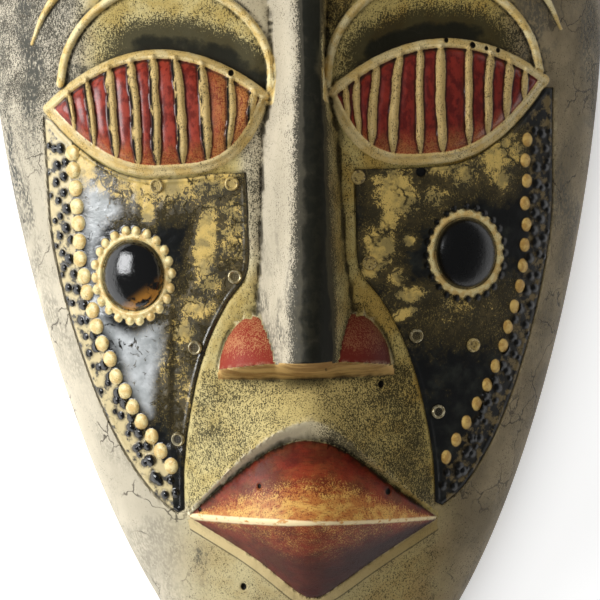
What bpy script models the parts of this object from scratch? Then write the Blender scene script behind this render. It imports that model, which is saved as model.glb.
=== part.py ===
"""A carved wooden face mask with two embossed sheet-metal cheek plates nailed on.

Metres, +Z up. The mask lies on its back rim: its face looks up, the crown points to +Y and
the origin is the middle of its outline on the surface that it lies on.
"""

import math

import bmesh
import bpy
from mathutils import Matrix, Vector

# Sizes of the carved wood
LENGTH = 0.344
WIDTH = 0.192
DOME_HEIGHT = 0.060
SIDE_HEIGHT = 0.012
WALL = 0.010
RIM_LAND = 0.010
FLOOR_EASE = 0.0005
NOSE_RISE = 0.030
NOSE_RIDGE = 0.0104
NOSE_FLANK = 0.0035
NOSTRIL_RISE = 0.0150
NOSTRIL_EDGE = 0.0010
NOSTRIL_SET_BACK = 0.0006
SOCKET_DEPTH = 0.0035
EYE_BULGE = 0.0060
EYE_RIM_WIDTH = 0.0028
EYE_RIM_RISE = 0.0021
EYE_CLEARANCE = 0.0011
RIB_WIDTH = 0.0026
RIB_RISE = 0.0016
ARC_WIDTH = 0.0028
ARC_RISE = 0.0015
BROW_WIDTH = 0.0034
BROW_RISE = 0.0018
MUZZLE_RISE = 0.0070
MUZZLE_MARGIN = 0.0012
SLOPE_REACH = 0.0052
UNDERCUT = 0.0120
LIP_RISE = 0.0155
LIP_EDGE = 0.0008

# How deep the foot of each joined shape is sunk in the wood, each a little different
SUNK = 0.0018
EYE_ROOT = 0.0030
NOSE_ROOT = 0.0070
NOSTRIL_ROOT = 0.0040
MUZZLE_ROOT = 0.0050
LIP_ROOT = 0.0060
CUT_ABOVE = 0.0040

# Sizes of the plates and their nails
SHEET = 0.0007
GAP = 0.0003
RECESS_DEPTH = 0.0013
DOME_RADIUS = 0.0108
DOME_RISE = 0.0052
RING_WIDTH = 0.0022
RING_RISE = 0.0011
RING_FLANK = 0.0006
RING_CLEARANCE = 0.00035
BOSS_RADIUS = 0.0014
BOSS_RISE = 0.0012
DISC_RADIUS = 0.0020
DISC_RISE = 0.0010
NAIL_HEAD_RADIUS = 0.00215
NAIL_HEAD_RISE = 0.0008
NAIL_SHANK_RADIUS = 0.0008
NAIL_LENGTH = 0.0060
HEAD_CLEARANCE = 0.0005

# Counts
BORDER_DISCS = {-1: 20, 1: 17}
RING_BOSSES = {-1: 22, 1: 24}

# Places that follow the mask's own length and width, so that the face keeps its proportions
ALONG = LENGTH / 0.344
ACROSS = WIDTH / 0.192
WIDEST = 0.045 * ALONG
CROWN_FULLNESS = 2.1
CHIN_FULLNESS = 1.43
DOME_FULLNESS = 2.5
DOME_ROUNDNESS = 0.6
EDGE_TIGHTNESS = 1.2
CREST_SHARE = 0.27
NOSE_LEAN = math.radians(1.7)
BASE_SLANT = math.radians(12.0)

# Each eye, left then right as seen: its middle, half its length, the heights of its outer and
# inner corners, and how far its upper and lower edges leave the line between them
EYES = {
    -1: {"middle": 0.0432, "half": 0.0335, "outer": 0.0210, "inner": 0.0214, "up": 0.0144, "down": 0.0208},
    1: {"middle": 0.0426, "half": 0.0328, "outer": 0.0254, "inner": 0.0218, "up": 0.0129, "down": 0.0217},
}
RIB_PLACES = {
    -1: (0.0690, 0.0633, 0.0564, 0.0497, 0.0433, 0.0361, 0.0283, 0.0211, 0.0145),
    1: (0.0695, 0.0640, 0.0582, 0.0517, 0.0436, 0.0368, 0.0295, 0.0228, 0.0175),
}

# The arc over each eye: its middle, half its length, and its height over the line of its ends
ARCS = {
    -1: {"middle": 0.0400, "half": 0.0325, "base": 0.0262, "up": 0.0303},
    1: {"middle": 0.0415, "half": 0.0325, "base": 0.0262, "up": 0.0303},
}
ARC_START = (0.0322, 0.0285)
ARC_END = (0.0092, 0.0205)
BROW = {"middle": 0.0420, "half": 0.0410, "base": 0.0300, "up": 0.0380}

# Down the nose: place along the mask, half its foot, its ridge's share and its rise's share
NOSE_STATIONS = (
    (0.104, 0.0060, 0.30, -0.05), (0.080, 0.0085, 0.42, 0.17), (0.050, 0.0100, 0.48, 0.36),
    (0.010, 0.0113, 0.50, 0.54), (-0.027, 0.0132, 0.54, 0.74), (-0.045, 0.0150, 0.50, 0.88),
    (-0.066, 0.0160, 0.42, 1.00),
)
NOSE_BASE = -0.0575

# Each nostril: its top, its length, and its inner and outer edge at the top and their change
NOSTRIL = {
    "top": -0.0445, "long": 0.0215, "inner": 0.0125, "inwards": 0.0060, "outer": 0.0155, "outwards": 0.0112,
}

# The mouth's corners as seen, and how far its upper and lower edges leave the line between them
MOUTH = {"left": (-0.0370, -0.1048), "right": (0.0384, -0.1070), "up": 0.0226, "down": 0.0248}
MUZZLE_TOP = -0.0610

# The cheek plate's outline, the same on both sides: down its inner edge, then its outer edge
PLATE_INNER = (
    (0.0165, -0.0010), (0.0163, -0.0160), (0.0170, -0.0310), (0.0232, -0.0400), (0.0286, -0.0500),
    (0.0330, -0.0620), (0.0362, -0.0760), (0.0382, -0.0900), (0.0386, -0.1030),
)
PLATE_OUTER = (
    (0.0780, 0.0225), (0.0776, 0.0040), (0.0770, -0.0160), (0.0740, -0.0340), (0.0694, -0.0520),
    (0.0634, -0.0700), (0.0560, -0.0860), (0.0475, -0.0985), (0.0406, -0.1040),
)
DISC_LINE = (
    (0.0694, 0.0072), (0.0688, -0.0110), (0.0680, -0.0280), (0.0644, -0.0440), (0.0584, -0.0610),
    (0.0500, -0.0770), (0.0420, -0.0895),
)
DOMES = {-1: (0.0516, -0.0308), 1: (0.0494, -0.0270)}
NAILS = {
    -1: ((0.0207, -0.0042), (0.0434, -0.0040), (0.0206, -0.0322), (0.0334, -0.0533), (0.0395, -0.0812)),
    1: ((0.0173, -0.0034), (0.0200, -0.0292), (0.0337, -0.0516), (0.0399, -0.0750), (0.0512, -0.0550)),
}
EMPTY_HOLE = {-1: None, 1: (0.0364, -0.0022)}
FLAT_TOP_END = 0.0340
FLAT_TOP_CLIMB = 2.0


def smooth_bump(distance):
    """One at the middle, falling smoothly to nothing at a distance of one."""
    inside = max(0.0, 1.0 - distance * distance)
    return inside * inside * (3.0 - 2.0 * inside)


def outline_share(x, y, inset=0.0):
    """Nothing at the widest line's middle and one on the outline, squared."""
    reach = LENGTH / 2 - WIDEST if y > WIDEST else LENGTH / 2 + WIDEST
    fullness = CROWN_FULLNESS if y > WIDEST else CHIN_FULLNESS
    along = abs(y - WIDEST) / (reach - inset)
    return (x / (WIDTH / 2 - inset)) ** 2 + along ** fullness


def dome_height(x, y):
    share = min(outline_share(x, y), 1.0)
    return SIDE_HEIGHT + (DOME_HEIGHT - SIDE_HEIGHT) * (1.0 - share ** (DOME_FULLNESS / 2)) ** DOME_ROUNDNESS


def face_height(x, y):
    """The carved face without its crisp parts: dome, eye sockets and the swell round the mouth."""
    across, along = x / ACROSS, y / ALONG
    socket = smooth_bump(math.hypot((abs(across) - 0.041) / 0.034, (along - 0.030) / 0.030))
    swell = math.exp(-((across / 0.026) ** 2) - ((along + 0.106) / 0.030) ** 2)
    return dome_height(x, y) - SOCKET_DEPTH * socket + MUZZLE_RISE * swell


def eye_point(side, share, upper):
    """A point of the eye's edge, with share -1 at the outer corner and 1 at the inner one."""
    eye = EYES[side]
    corner = eye["outer"] + (eye["inner"] - eye["outer"]) * (share + 1.0) / 2.0
    power = 4.0 if share > 0.0 and not upper else 2.0
    leave = 1.0 - abs(share) ** power
    rise = eye["up"] * leave if upper else -eye["down"] * leave
    return side * (eye["middle"] - share * eye["half"]) * ACROSS, (corner + rise) * ALONG


def eye_height(side, x, y):
    """The convex eye, which meets the face along its edge."""
    eye = EYES[side]
    share = max(-1.0, min(1.0, (eye["middle"] - abs(x) / ACROSS) / eye["half"]))
    top = eye_point(side, share, True)[1]
    bottom = eye_point(side, share, False)[1]
    half = max((top - bottom) / 2, 1e-6)
    off_middle = min(abs(y - (top + bottom) / 2) / half, 1.0)
    bulge = (max(0.0, 1.0 - share * share) * (1.0 - off_middle ** 2)) ** 0.6
    return face_height(x, y) + EYE_BULGE * bulge


def curve_through(points, count):
    """Evenly numbered points on one smooth curve through the given points."""
    ends = [points[0], *points, points[-1]]
    found = []
    for step in range(count):
        place = step / (count - 1) * (len(points) - 1)
        span = min(int(place), len(points) - 2)
        t = place - span
        a, b, c, d = (Vector(p) for p in ends[span:span + 4])
        found.append(0.5 * (2 * b + (c - a) * t + (2 * a - 5 * b + 4 * c - d) * t * t
                            + (3 * b - a - 3 * c + d) * t ** 3))
    return found


def evenly_spaced(points, count):
    """Points the same distance apart along a finely drawn line."""
    lengths = [0.0]
    for before, after in zip(points, points[1:]):
        lengths.append(lengths[-1] + (after - before).length)
    found = []
    for step in range(count):
        target = lengths[-1] * step / (count - 1)
        index = max(i for i in range(len(points) - 1) if lengths[i] <= target + 1e-9)
        share = (target - lengths[index]) / (lengths[index + 1] - lengths[index])
        found.append(points[index].lerp(points[index + 1], share))
    return found


def surface_frame(x, y, height_at=face_height):
    """A matrix at a point of the surface, with its Z along the surface's normal."""
    step = 0.0005
    slope_x = (height_at(x + step, y) - height_at(x - step, y)) / (2 * step)
    slope_y = (height_at(x, y + step) - height_at(x, y - step)) / (2 * step)
    normal = Vector((-slope_x, -slope_y, 1.0)).normalized()
    turn = normal.to_track_quat("Z", "Y").to_matrix().to_4x4()
    return Matrix.Translation((x, y, height_at(x, y))) @ turn


def material(name, colour, roughness, metallic=0.0):
    made = bpy.data.materials.new(name)
    made.use_nodes = True
    shader = made.node_tree.nodes["Principled BSDF"]
    shader.inputs["Base Color"].default_value = (*colour, 1.0)
    shader.inputs["Roughness"].default_value = roughness
    shader.inputs["Metallic"].default_value = metallic
    return made


def finished(name, bm, finish=None):
    """The bmesh as an object with its faces outwards."""
    bmesh.ops.recalc_face_normals(bm, faces=bm.faces)
    mesh = bpy.data.meshes.new(name)
    bm.to_mesh(mesh)
    bm.free()
    mesh.shade_smooth()
    mesh.set_sharp_from_angle(angle=math.radians(35))
    made = bpy.data.objects.new(name, mesh)
    bpy.context.scene.collection.objects.link(made)
    if finish:
        mesh.materials.append(finish)
    return made


def helper(name, bm):
    """A shape that is only joined to, or cut from, another."""
    made = finished(name, bm)
    made.hide_render = True
    made.display_type = "WIRE"
    return made


def slab(across, along, place):
    """A closed solid between two skins of a grid: place gives each corner from its share across,
    its share along, and its skin, 0 below and 1 above."""
    bm = bmesh.new()
    bmesh.ops.create_grid(bm, x_segments=across, y_segments=along, size=1.0)
    lifted = bmesh.ops.extrude_face_region(bm, geom=bm.faces[:])
    for item in lifted["geom"]:
        if isinstance(item, bmesh.types.BMVert):
            item.co.z = 1.0
    for corner in bm.verts:
        corner.co = place(*corner.co)
    return bm


def ridge(path, width, rise, height_at=face_height, closed=False, taper=0.0):
    """A ridge with sloping flanks laid on the surface along a path, its foot sunk in the wood. It
    is smaller towards its ends by taper."""
    foot, top = width / 2, width * CREST_SHARE
    section = ((foot, -SUNK), (foot, 0.0), (top, rise), (-top, rise), (-foot, 0.0), (-foot, -SUNK))
    sides = len(section)
    bm = bmesh.new()
    rings = []
    for index, point in enumerate(path):
        before = path[index - 1] if closed or index else point
        after = path[(index + 1) % len(path)] if closed or index < len(path) - 1 else point
        heading = math.atan2(after.y - before.y, after.x - before.x)
        middle = 1.0 - abs(2.0 * index / (len(path) - 1) - 1.0)
        size = 1.0 if closed else 1.0 - taper * (1.0 - min(1.0, 2.5 * middle))
        frame = surface_frame(point.x, point.y, height_at)
        normal = frame.to_3x3().col[2]
        ahead = Vector((math.cos(heading), math.sin(heading), 0.0))
        ahead = (ahead - normal * ahead.dot(normal)).normalized()
        aside = ahead.cross(normal)
        axes = Matrix((aside, ahead, normal)).transposed().to_4x4()
        axes.translation = frame.translation
        rings.append([bm.verts.new(axes @ Vector((off * size, 0.0, up * size))) for off, up in section])
    spans = len(rings) if closed else len(rings) - 1
    for index in range(spans):
        ring, following = rings[index], rings[(index + 1) % len(rings)]
        for side in range(sides):
            other = (side + 1) % sides
            bm.faces.new((ring[side], ring[other], following[other], following[side]))
    if not closed:
        bm.faces.new(rings[0])
        bm.faces.new(rings[-1])
    return bm


def outline_place(across, along, inset=0.0):
    """The point of the mask's plan for a point of a square from -1 to 1."""
    u = across * math.sqrt(1.0 - along * along / 2)
    v = along * math.sqrt(1.0 - across * across / 2)
    radius = math.hypot(u, v)
    if radius > 0.0:
        even = math.sin(radius * EDGE_TIGHTNESS) / math.sin(EDGE_TIGHTNESS)
        u, v = u * even / radius, v * even / radius
    reach = LENGTH / 2 - WIDEST if v > 0.0 else LENGTH / 2 + WIDEST
    fullness = CROWN_FULLNESS if v > 0.0 else CHIN_FULLNESS
    y = WIDEST + math.copysign((reach - inset) * abs(v) ** (2.0 / fullness), v)
    return u * (WIDTH / 2 - inset), y


def blank():
    """The carved face over a flat back, before it is hollowed."""
    def place(across, along, skin):
        x, y = outline_place(across, along)
        return Vector((x, y, face_height(x, y) if skin else 0.0))
    return slab(22, 34, place)


def hollow():
    """The plain bowl inside, open at the back."""
    def place(across, along, skin):
        x, y = outline_place(across, along, RIM_LAND)
        share = min(outline_share(x, y, RIM_LAND), 1.0)
        depth = (DOME_HEIGHT - WALL) * (1.0 - share ** (DOME_FULLNESS / 2)) ** DOME_ROUNDNESS
        return Vector((x, y, depth + FLOOR_EASE if skin else -WALL))
    return slab(10, 16, place)


def nose():
    """A long nose that starts on the forehead, widens down its length and ends in a cut base."""
    bm = bmesh.new()
    rings = []
    for along, foot, ridge_share, rise in NOSE_STATIONS:
        y = along * ALONG
        middle = math.tan(NOSE_LEAN) * (along - NOSE_STATIONS[-1][0]) * ALONG
        top = ridge_share * NOSE_RIDGE
        level = face_height(middle, y)
        flank = foot * ACROSS
        root = face_height(middle + flank, y) - NOSE_ROOT
        lift = NOSE_RISE * rise
        ring = [
            (middle - flank, y, root), (middle - flank, y, root + 2 * NOSE_FLANK),
            (middle - top - (flank - top) * 0.3, y, level + lift * 0.70),
            (middle - top * 0.8, y, level + lift * 0.97), (middle, y, level + lift),
            (middle + top * 0.8, y, level + lift * 0.97),
            (middle + top + (flank - top) * 0.3, y, level + lift * 0.70),
            (middle + flank, y, root + 2 * NOSE_FLANK), (middle + flank, y, root),
        ]
        rings.append([bm.verts.new(corner) for corner in ring])
    for ring, following in zip(rings, rings[1:]):
        for index in range(len(ring)):
            other = (index + 1) % len(ring)
            bm.faces.new((ring[index], ring[other], following[other], following[index]))
    bm.faces.new(rings[0])
    bm.faces.new(rings[-1])
    cut_nose_base(bm)
    return bm


def cut_nose_base(bm, back=0.0):
    """Cuts the nose or a nostril off along the slanting plane of the nose's base, or back from it."""
    base = Vector((0.0, NOSE_BASE * ALONG + back, DOME_HEIGHT + NOSE_RISE * 0.6))
    bmesh.ops.bisect_plane(
        bm, geom=bm.verts[:] + bm.edges[:] + bm.faces[:], dist=1e-6, plane_co=base,
        plane_no=Vector((0.0, -math.cos(BASE_SLANT), math.sin(BASE_SLANT))), clear_outer=True,
    )
    bmesh.ops.holes_fill(bm, edges=[edge for edge in bm.edges if edge.is_boundary], sides=0)


def nostril(side):
    """One rounded wing beside the nose's tip."""
    def place(across, along, skin):
        outwards, down = (across + 1) / 2, (1 - along) / 2
        inner = NOSTRIL["inner"] - NOSTRIL["inwards"] * down
        outer = NOSTRIL["outer"] + NOSTRIL["outwards"] * math.sin(math.pi / 2 * down ** 0.6)
        x = side * (inner + (outer - inner) * outwards) * ACROSS
        y = (NOSTRIL["top"] - NOSTRIL["long"] * down) * ALONG
        swell = (0.2 + 0.8 * math.sin(math.pi / 2 * down ** 0.7)) * math.sqrt(1.0 - outwards ** 2.2)
        height = NOSTRIL_EDGE + NOSTRIL_RISE * swell
        return Vector((x, y, face_height(x, y) + (height if skin else -NOSTRIL_ROOT)))
    bm = slab(6, 5, place)
    cut_nose_base(bm, NOSTRIL_SET_BACK)
    return bm


def eye(side):
    """The convex eye with its row of upright ribs."""
    eye_size = EYES[side]
    columns = [(-0.995, 0.0)]
    for place_across in RIB_PLACES[side]:
        for off, rise in ((-0.5, 0.0), (-CREST_SHARE, RIB_RISE), (CREST_SHARE, RIB_RISE), (0.5, 0.0)):
            share = (eye_size["middle"] - place_across + off * RIB_WIDTH) / eye_size["half"]
            columns.append((share, rise))
    columns.append((0.995, 0.0))

    def place(across, along, skin):
        share, rise = columns[round((across + 1.0) / 2 * (len(columns) - 1))]
        x, top = eye_point(side, share, True)
        bottom = eye_point(side, share, False)[1]
        y = bottom + (top - bottom) * (along + 1.0) / 2
        return Vector((x, y, eye_height(side, x, y) + rise if skin else face_height(x, y) - EYE_ROOT))

    return slab(len(columns) - 1, 5, place)


def eye_rim(side):
    steps = 10
    upper = [eye_point(side, 2 * step / steps - 1, True) for step in range(steps + 1)]
    lower = [eye_point(side, 1 - 2 * step / steps, False) for step in range(1, steps)]
    path = [Vector(point) for point in upper + lower]
    return ridge(path, EYE_RIM_WIDTH, EYE_RIM_RISE, closed=True)


def socket_arc(side):
    """The raised arc over the eye, from its outer corner down to the nose."""
    arc = ARCS[side]
    path = [Vector((side * (arc["middle"] + ARC_START[0]) * ACROSS, ARC_START[1] * ALONG))]
    path += arched(side, arc, [math.radians(159 - 19 * step) for step in range(9)])
    path.append(Vector((side * ARC_END[0] * ACROSS, ARC_END[1] * ALONG)))
    return ridge(path[::-1] if side > 0 else path, ARC_WIDTH, ARC_RISE, taper=0.35)


def arched(side, arc, turns):
    """Points of an arch over one eye at the given turns, half a turn at its outer end."""
    path = []
    for turn in turns:
        x = side * (arc["middle"] - arc["half"] * math.cos(turn)) * ACROSS
        path.append(Vector((x, (arc["base"] + arc["up"] * math.sin(turn)) * ALONG)))
    return path


def brow(side):
    """The thin eyebrow ridge, pointed at both ends."""
    path = arched(side, BROW, [math.radians(163 - 16.5 * step) for step in range(8)])
    return ridge(path, BROW_WIDTH, BROW_RISE, taper=0.85)


def mouth_line(share):
    """A point of the line between the mouth's corners, with share from -1 to 1."""
    left, right = Vector(MOUTH["left"]), Vector(MOUTH["right"])
    point = left.lerp(right, (share + 1.0) / 2)
    return point.x * ACROSS, point.y * ALONG


def lips():
    """A closed mouth like a low roof: two curved slopes that meet in a crest."""
    def place(across, along, skin):
        share = max(-0.985, min(0.985, across))
        x, crest = mouth_line(share)
        reach = MOUTH["down"] * (1.0 - abs(share) ** 1.15)
        if along > 0:
            reach = MOUTH["up"] * (1.0 - abs(share) ** 1.5)
        y = crest + along * reach * ALONG
        middle = 1.0 - abs(share) ** 1.7
        edge = 0.28 if along > 0 else 0.10
        roof = LIP_RISE * middle * (edge + (1.0 - edge) * (1.0 - abs(along))) + LIP_EDGE
        return Vector((x, y, face_height(x, y) + (roof if skin else -LIP_ROOT)))
    return slab(12, 6, place)


def muzzle():
    """The raised field from the nose to the mouth, whose lower edge stands over the upper lip."""
    def place(across, along, skin):
        from_mouth = (1.0 - along) / 2
        inner = curve_through(PLATE_INNER, 40)
        top = MUZZLE_TOP * ALONG
        x_line, crest = mouth_line(across * 0.965)
        edge = crest + (MOUTH["up"] + SLOPE_REACH) * (1.0 - abs(across) ** 1.35) * ALONG
        y = top + (edge - top) * from_mouth
        limit = min(inner, key=lambda p: abs(p.y * ALONG - y)).x * ACROSS - MUZZLE_MARGIN
        width = min(limit, abs(x_line / across) if across else limit)
        x = across * (limit + (width - limit) * from_mouth ** 3)
        rise = LIP_RISE * (0.03 + 0.62 * from_mouth ** 1.3 * (1.0 - abs(across) ** 1.8))
        under = 0.0 if skin else UNDERCUT * from_mouth ** 2 * (1.0 - across * across)
        return Vector((x, y - under, face_height(x, y) + (rise if skin else -MUZZLE_ROOT)))
    return slab(12, 4, place)


INNER_LINE = evenly_spaced(curve_through(PLATE_INNER, 60), 41)
OUTER_LINE = evenly_spaced(curve_through(PLATE_OUTER, 60), 41)


def plate_point(side, across, along):
    """A point of the cheek plate's plan: across from its inner to its outer edge, along from its
    top, which follows the eye, to its tip."""
    inner = point_at(INNER_LINE, along)
    outer = point_at(OUTER_LINE, along)
    point = inner.lerp(outer, across)
    point.x *= ACROSS
    point.y *= ALONG
    corner = INNER_LINE[0].lerp(OUTER_LINE[0], across)
    eye_size = EYES[side]
    share = max(-1.0, min(1.0, (eye_size["middle"] - corner.x) / eye_size["half"]))
    under_eye = eye_point(side, share, False)[1] - EYE_RIM_WIDTH / 2 - EYE_CLEARANCE
    flat_top = INNER_LINE[0].y * ALONG
    climb = max(0.0, corner.x - FLAT_TOP_END) * FLAT_TOP_CLIMB * ALONG
    top = min(under_eye, flat_top + climb)
    point.y += (top - corner.y * ALONG) * (1.0 - along) ** 3
    return side * point.x, point.y


def point_at(line, share):
    place = max(0.0, min(1.0, share)) * (len(line) - 1)
    index = min(int(place), len(line) - 2)
    return line[index].lerp(line[index + 1], place - index)


def widened(side, across, along, margin):
    """The plate's own point, moved outwards by margin where it is on the plate's edge."""
    step = 0.02
    point = Vector(plate_point(side, across, along))
    left, right = max(0.0, across - step), min(1.0, across + step)
    up, down = max(0.0, along - step), min(1.0, along + step)
    outwards = Vector(plate_point(side, right, along)) - Vector(plate_point(side, left, along))
    downwards = Vector(plate_point(side, across, down)) - Vector(plate_point(side, across, up))
    if across in (0.0, 1.0):
        away = Vector((-downwards.y, downwards.x)).normalized() * side
        point += away * margin * (1.0 if across == 1.0 else -1.0)
    if along in (0.0, 1.0):
        away = Vector((-outwards.y, outwards.x)).normalized() * side
        point += away * margin * (1.0 if along == 0.0 else -1.0)
    return point


def plate_slab(side, top, bottom, margin):
    """The plate's plan between two levels under the face, wider all round by margin."""
    def place(across, along, skin):
        u, v = (across + 1) / 2, (1 - along) / 2
        level = face_height(*plate_point(side, u, v))
        spot = widened(side, u, v, margin)
        return Vector((spot.x, spot.y, level - (top if skin else bottom)))
    return slab(6, 12, place)


def draped(x, y, profile, sides):
    """A round raised shape that follows the sheet. Its profile gives reaches and levels over the
    sheet, from its foot's outer edge to its flat top or the point at its middle."""
    bm = bmesh.new()
    frame = surface_frame(x, y)
    normal = frame.to_3x3().col[2]
    under_face = RECESS_DEPTH - GAP - SHEET

    def corner(reach, level, turn):
        spot = frame @ Vector((reach * math.cos(turn), reach * math.sin(turn), 0.0))
        spot.z = face_height(spot.x, spot.y)
        return bm.verts.new(spot + normal * (level - under_face))

    circles = []
    for reach, level in profile:
        if reach > 0.0:
            circles.append([corner(reach, level, 2 * math.pi * index / sides) for index in range(sides)])
    foot = corner(0.0, profile[0][1], 0.0)
    for index in range(sides):
        other = (index + 1) % sides
        bm.faces.new((circles[0][other], circles[0][index], foot))
        for lower, upper in zip(circles, circles[1:]):
            bm.faces.new((lower[index], lower[other], upper[other], upper[index]))
    if profile[-1][0] > 0.0:
        bm.faces.new(circles[-1])
        return bm
    tip = corner(0.0, profile[-1][1], 0.0)
    for index in range(sides):
        bm.faces.new((circles[-1][index], circles[-1][(index + 1) % sides], tip))
    return bm


def dome_and_ring(x, y):
    """The large round dome inside its raised ring."""
    outer = DOME_RADIUS + RING_WIDTH
    profile = [(outer, -SHEET / 2), (outer - RING_FLANK, RING_RISE), (DOME_RADIUS + RING_FLANK, RING_RISE)]
    for turn in (0, 30, 60):
        reach = DOME_RADIUS * math.cos(math.radians(turn))
        profile.append((reach, DOME_RISE * math.sin(math.radians(turn))))
    profile.append((0.0, DOME_RISE))
    return draped(x, y, profile, 16)


def embossed(side):
    """The dome, its ring, the bosses round it and the discs along the border, as raised shapes."""
    x, y = side * DOMES[side][0] * ACROSS, DOMES[side][1] * ALONG
    shapes = [dome_and_ring(x, y)]
    boss = ((BOSS_RADIUS, -SHEET / 2), (0.0, BOSS_RISE))
    reach = DOME_RADIUS + RING_WIDTH + BOSS_RADIUS + RING_CLEARANCE
    for index in range(RING_BOSSES[side]):
        turn = 2 * math.pi * index / RING_BOSSES[side]
        spot = surface_frame(x, y) @ Vector((reach * math.cos(turn), reach * math.sin(turn), 0.0))
        shapes.append(draped(spot.x, spot.y, boss, 4))
    disc = ((DISC_RADIUS, -SHEET / 2), (DISC_RADIUS * 0.65, DISC_RISE))
    for point in evenly_spaced(curve_through(DISC_LINE, 60), BORDER_DISCS[side]):
        shapes.append(draped(side * point.x * ACROSS, point.y * ALONG, disc, 5))
    return shapes


def nail_hole(side, spot, radius):
    """A straight hole through the plate into the wood, square to the surface."""
    bm = bmesh.new()
    frame = surface_frame(side * spot[0] * ACROSS, spot[1] * ALONG)
    depth = NAIL_LENGTH + 2 * GAP
    bmesh.ops.create_cone(
        bm, cap_ends=True, segments=6, radius1=radius, radius2=radius, depth=2 * depth,
        matrix=frame,
    )
    return bm


def nail(name, side, spot, finish):
    """A small round-headed nail: its head stands on the plate and its shank goes into the wood."""
    bm = bmesh.new()
    seat = HEAD_CLEARANCE - (RECESS_DEPTH - GAP - SHEET)
    profile = (
        (0.0, seat + NAIL_HEAD_RISE), (NAIL_HEAD_RADIUS, seat + NAIL_HEAD_RISE / 2),
        (NAIL_HEAD_RADIUS, seat), (NAIL_SHANK_RADIUS, seat), (NAIL_SHANK_RADIUS, -NAIL_LENGTH),
        (0.0, -NAIL_LENGTH),
    )
    corners = [bm.verts.new((reach, 0.0, level)) for reach, level in profile]
    edges = [bm.edges.new(pair) for pair in zip(corners, corners[1:])]
    bmesh.ops.spin(
        bm, geom=corners + edges, cent=(0, 0, 0), axis=(0, 0, 1), angle=2 * math.pi, steps=8,
        use_merge=True,
    )
    bmesh.ops.remove_doubles(bm, verts=bm.verts, dist=1e-6)
    bm.transform(surface_frame(side * spot[0] * ACROSS, spot[1] * ALONG))
    return finished(name, bm, finish)


def join_or_cut(target, operation, shapes, name):
    """A Boolean of the target with a collection of helper shapes."""
    group = bpy.data.collections.new(name)
    bpy.context.scene.collection.children.link(group)
    for index, bm in enumerate(shapes):
        made = helper(f"{name}_{index + 1}", bm)
        bpy.context.scene.collection.objects.unlink(made)
        group.objects.link(made)
    change = target.modifiers.new(name, "BOOLEAN")
    change.operation = operation
    change.solver = "EXACT"
    change.operand_type = "COLLECTION"
    change.collection = group


def carved_mask(finish):
    made = finished("carved_mask", blank(), finish)
    join_or_cut(made, "DIFFERENCE", [hollow()], "hollow")
    recesses = [plate_slab(side, -CUT_ABOVE, RECESS_DEPTH, GAP) for side in (-1, 1)]
    join_or_cut(made, "DIFFERENCE", recesses, "plate_recess")
    raised = [nose(), nostril(-1), nostril(1), lips(), muzzle()]
    for side in (-1, 1):
        raised += [eye(side), eye_rim(side), socket_arc(side), brow(side)]
    join_or_cut(made, "UNION", raised, "carving")
    holes = []
    for side in (-1, 1):
        holes += [nail_hole(side, spot, NAIL_SHANK_RADIUS + GAP) for spot in NAILS[side]]
        if EMPTY_HOLE[side]:
            holes.append(nail_hole(side, EMPTY_HOLE[side], NAIL_SHANK_RADIUS + GAP))
    join_or_cut(made, "DIFFERENCE", holes, "nail_hole_in_wood")
    return made


def cheek_plate(side, name, finish):
    top = RECESS_DEPTH - GAP - SHEET
    made = finished(name, plate_slab(side, top, top + SHEET, 0.0), finish)
    join_or_cut(made, "UNION", embossed(side), name + "_embossing")
    spots = list(NAILS[side]) + ([EMPTY_HOLE[side]] if EMPTY_HOLE[side] else [])
    holes = [nail_hole(side, spot, NAIL_SHANK_RADIUS + GAP) for spot in spots]
    join_or_cut(made, "DIFFERENCE", holes, name + "_nail_hole")
    return made


def main():
    for thing in list(bpy.data.objects):
        bpy.data.objects.remove(thing)
    wood = material("stained_wood", (0.42, 0.36, 0.21), 0.55)
    sheet_metal = material("painted_sheet_metal", (0.10, 0.09, 0.05), 0.30)
    steel = material("nail_steel", (0.45, 0.43, 0.38), 0.40, 0.8)
    carved_mask(wood)
    for side, word in ((-1, "left"), (1, "right")):
        cheek_plate(side, f"{word}_cheek_plate", sheet_metal)
        for index, spot in enumerate(NAILS[side]):
            nail(f"{word}_plate_nail_{index + 1}", side, spot, steel)


main()
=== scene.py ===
"""A carved wooden face mask with two embossed sheet-metal cheek plates nailed on, lying face up."""

import math

import bmesh
import bpy
import numpy as np
from mathutils import Matrix, Vector, noise


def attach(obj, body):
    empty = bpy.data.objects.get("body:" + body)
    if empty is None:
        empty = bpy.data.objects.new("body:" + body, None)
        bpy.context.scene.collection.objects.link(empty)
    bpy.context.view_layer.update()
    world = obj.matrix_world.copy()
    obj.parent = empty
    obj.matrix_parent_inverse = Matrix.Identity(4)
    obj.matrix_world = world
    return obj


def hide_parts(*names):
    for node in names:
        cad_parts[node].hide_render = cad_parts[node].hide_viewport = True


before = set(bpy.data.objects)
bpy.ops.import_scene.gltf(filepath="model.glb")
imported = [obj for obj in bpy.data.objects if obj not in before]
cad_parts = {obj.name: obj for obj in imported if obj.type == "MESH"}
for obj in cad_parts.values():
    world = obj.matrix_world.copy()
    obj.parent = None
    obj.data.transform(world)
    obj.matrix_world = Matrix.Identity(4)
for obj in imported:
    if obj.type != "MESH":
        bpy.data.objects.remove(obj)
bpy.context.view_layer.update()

# The wooden face. It is one block of light wood, carved with gouge and knife, hollowed from
# behind and rubbed with tan and black stain. The shapes below are in millimetres on the CAD's
# frame, with the viewer's left at -1 and right at 1, and end in one dense skin.
MILLIMETRE, SIDES = 0.001, (-1, 1)
OUTSIDE = -9.0  # what a mark says well outside its part
HALF_WIDTH, WIDEST, CROWN_REACH, CHIN_REACH = 96.0, 45.0, 127.0, 217.0
SIDE_HEIGHT, FACE_HEIGHT, WALL, HOLLOW_HEIGHT = 12.0, 60.0, 10.0, 50.0
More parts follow.
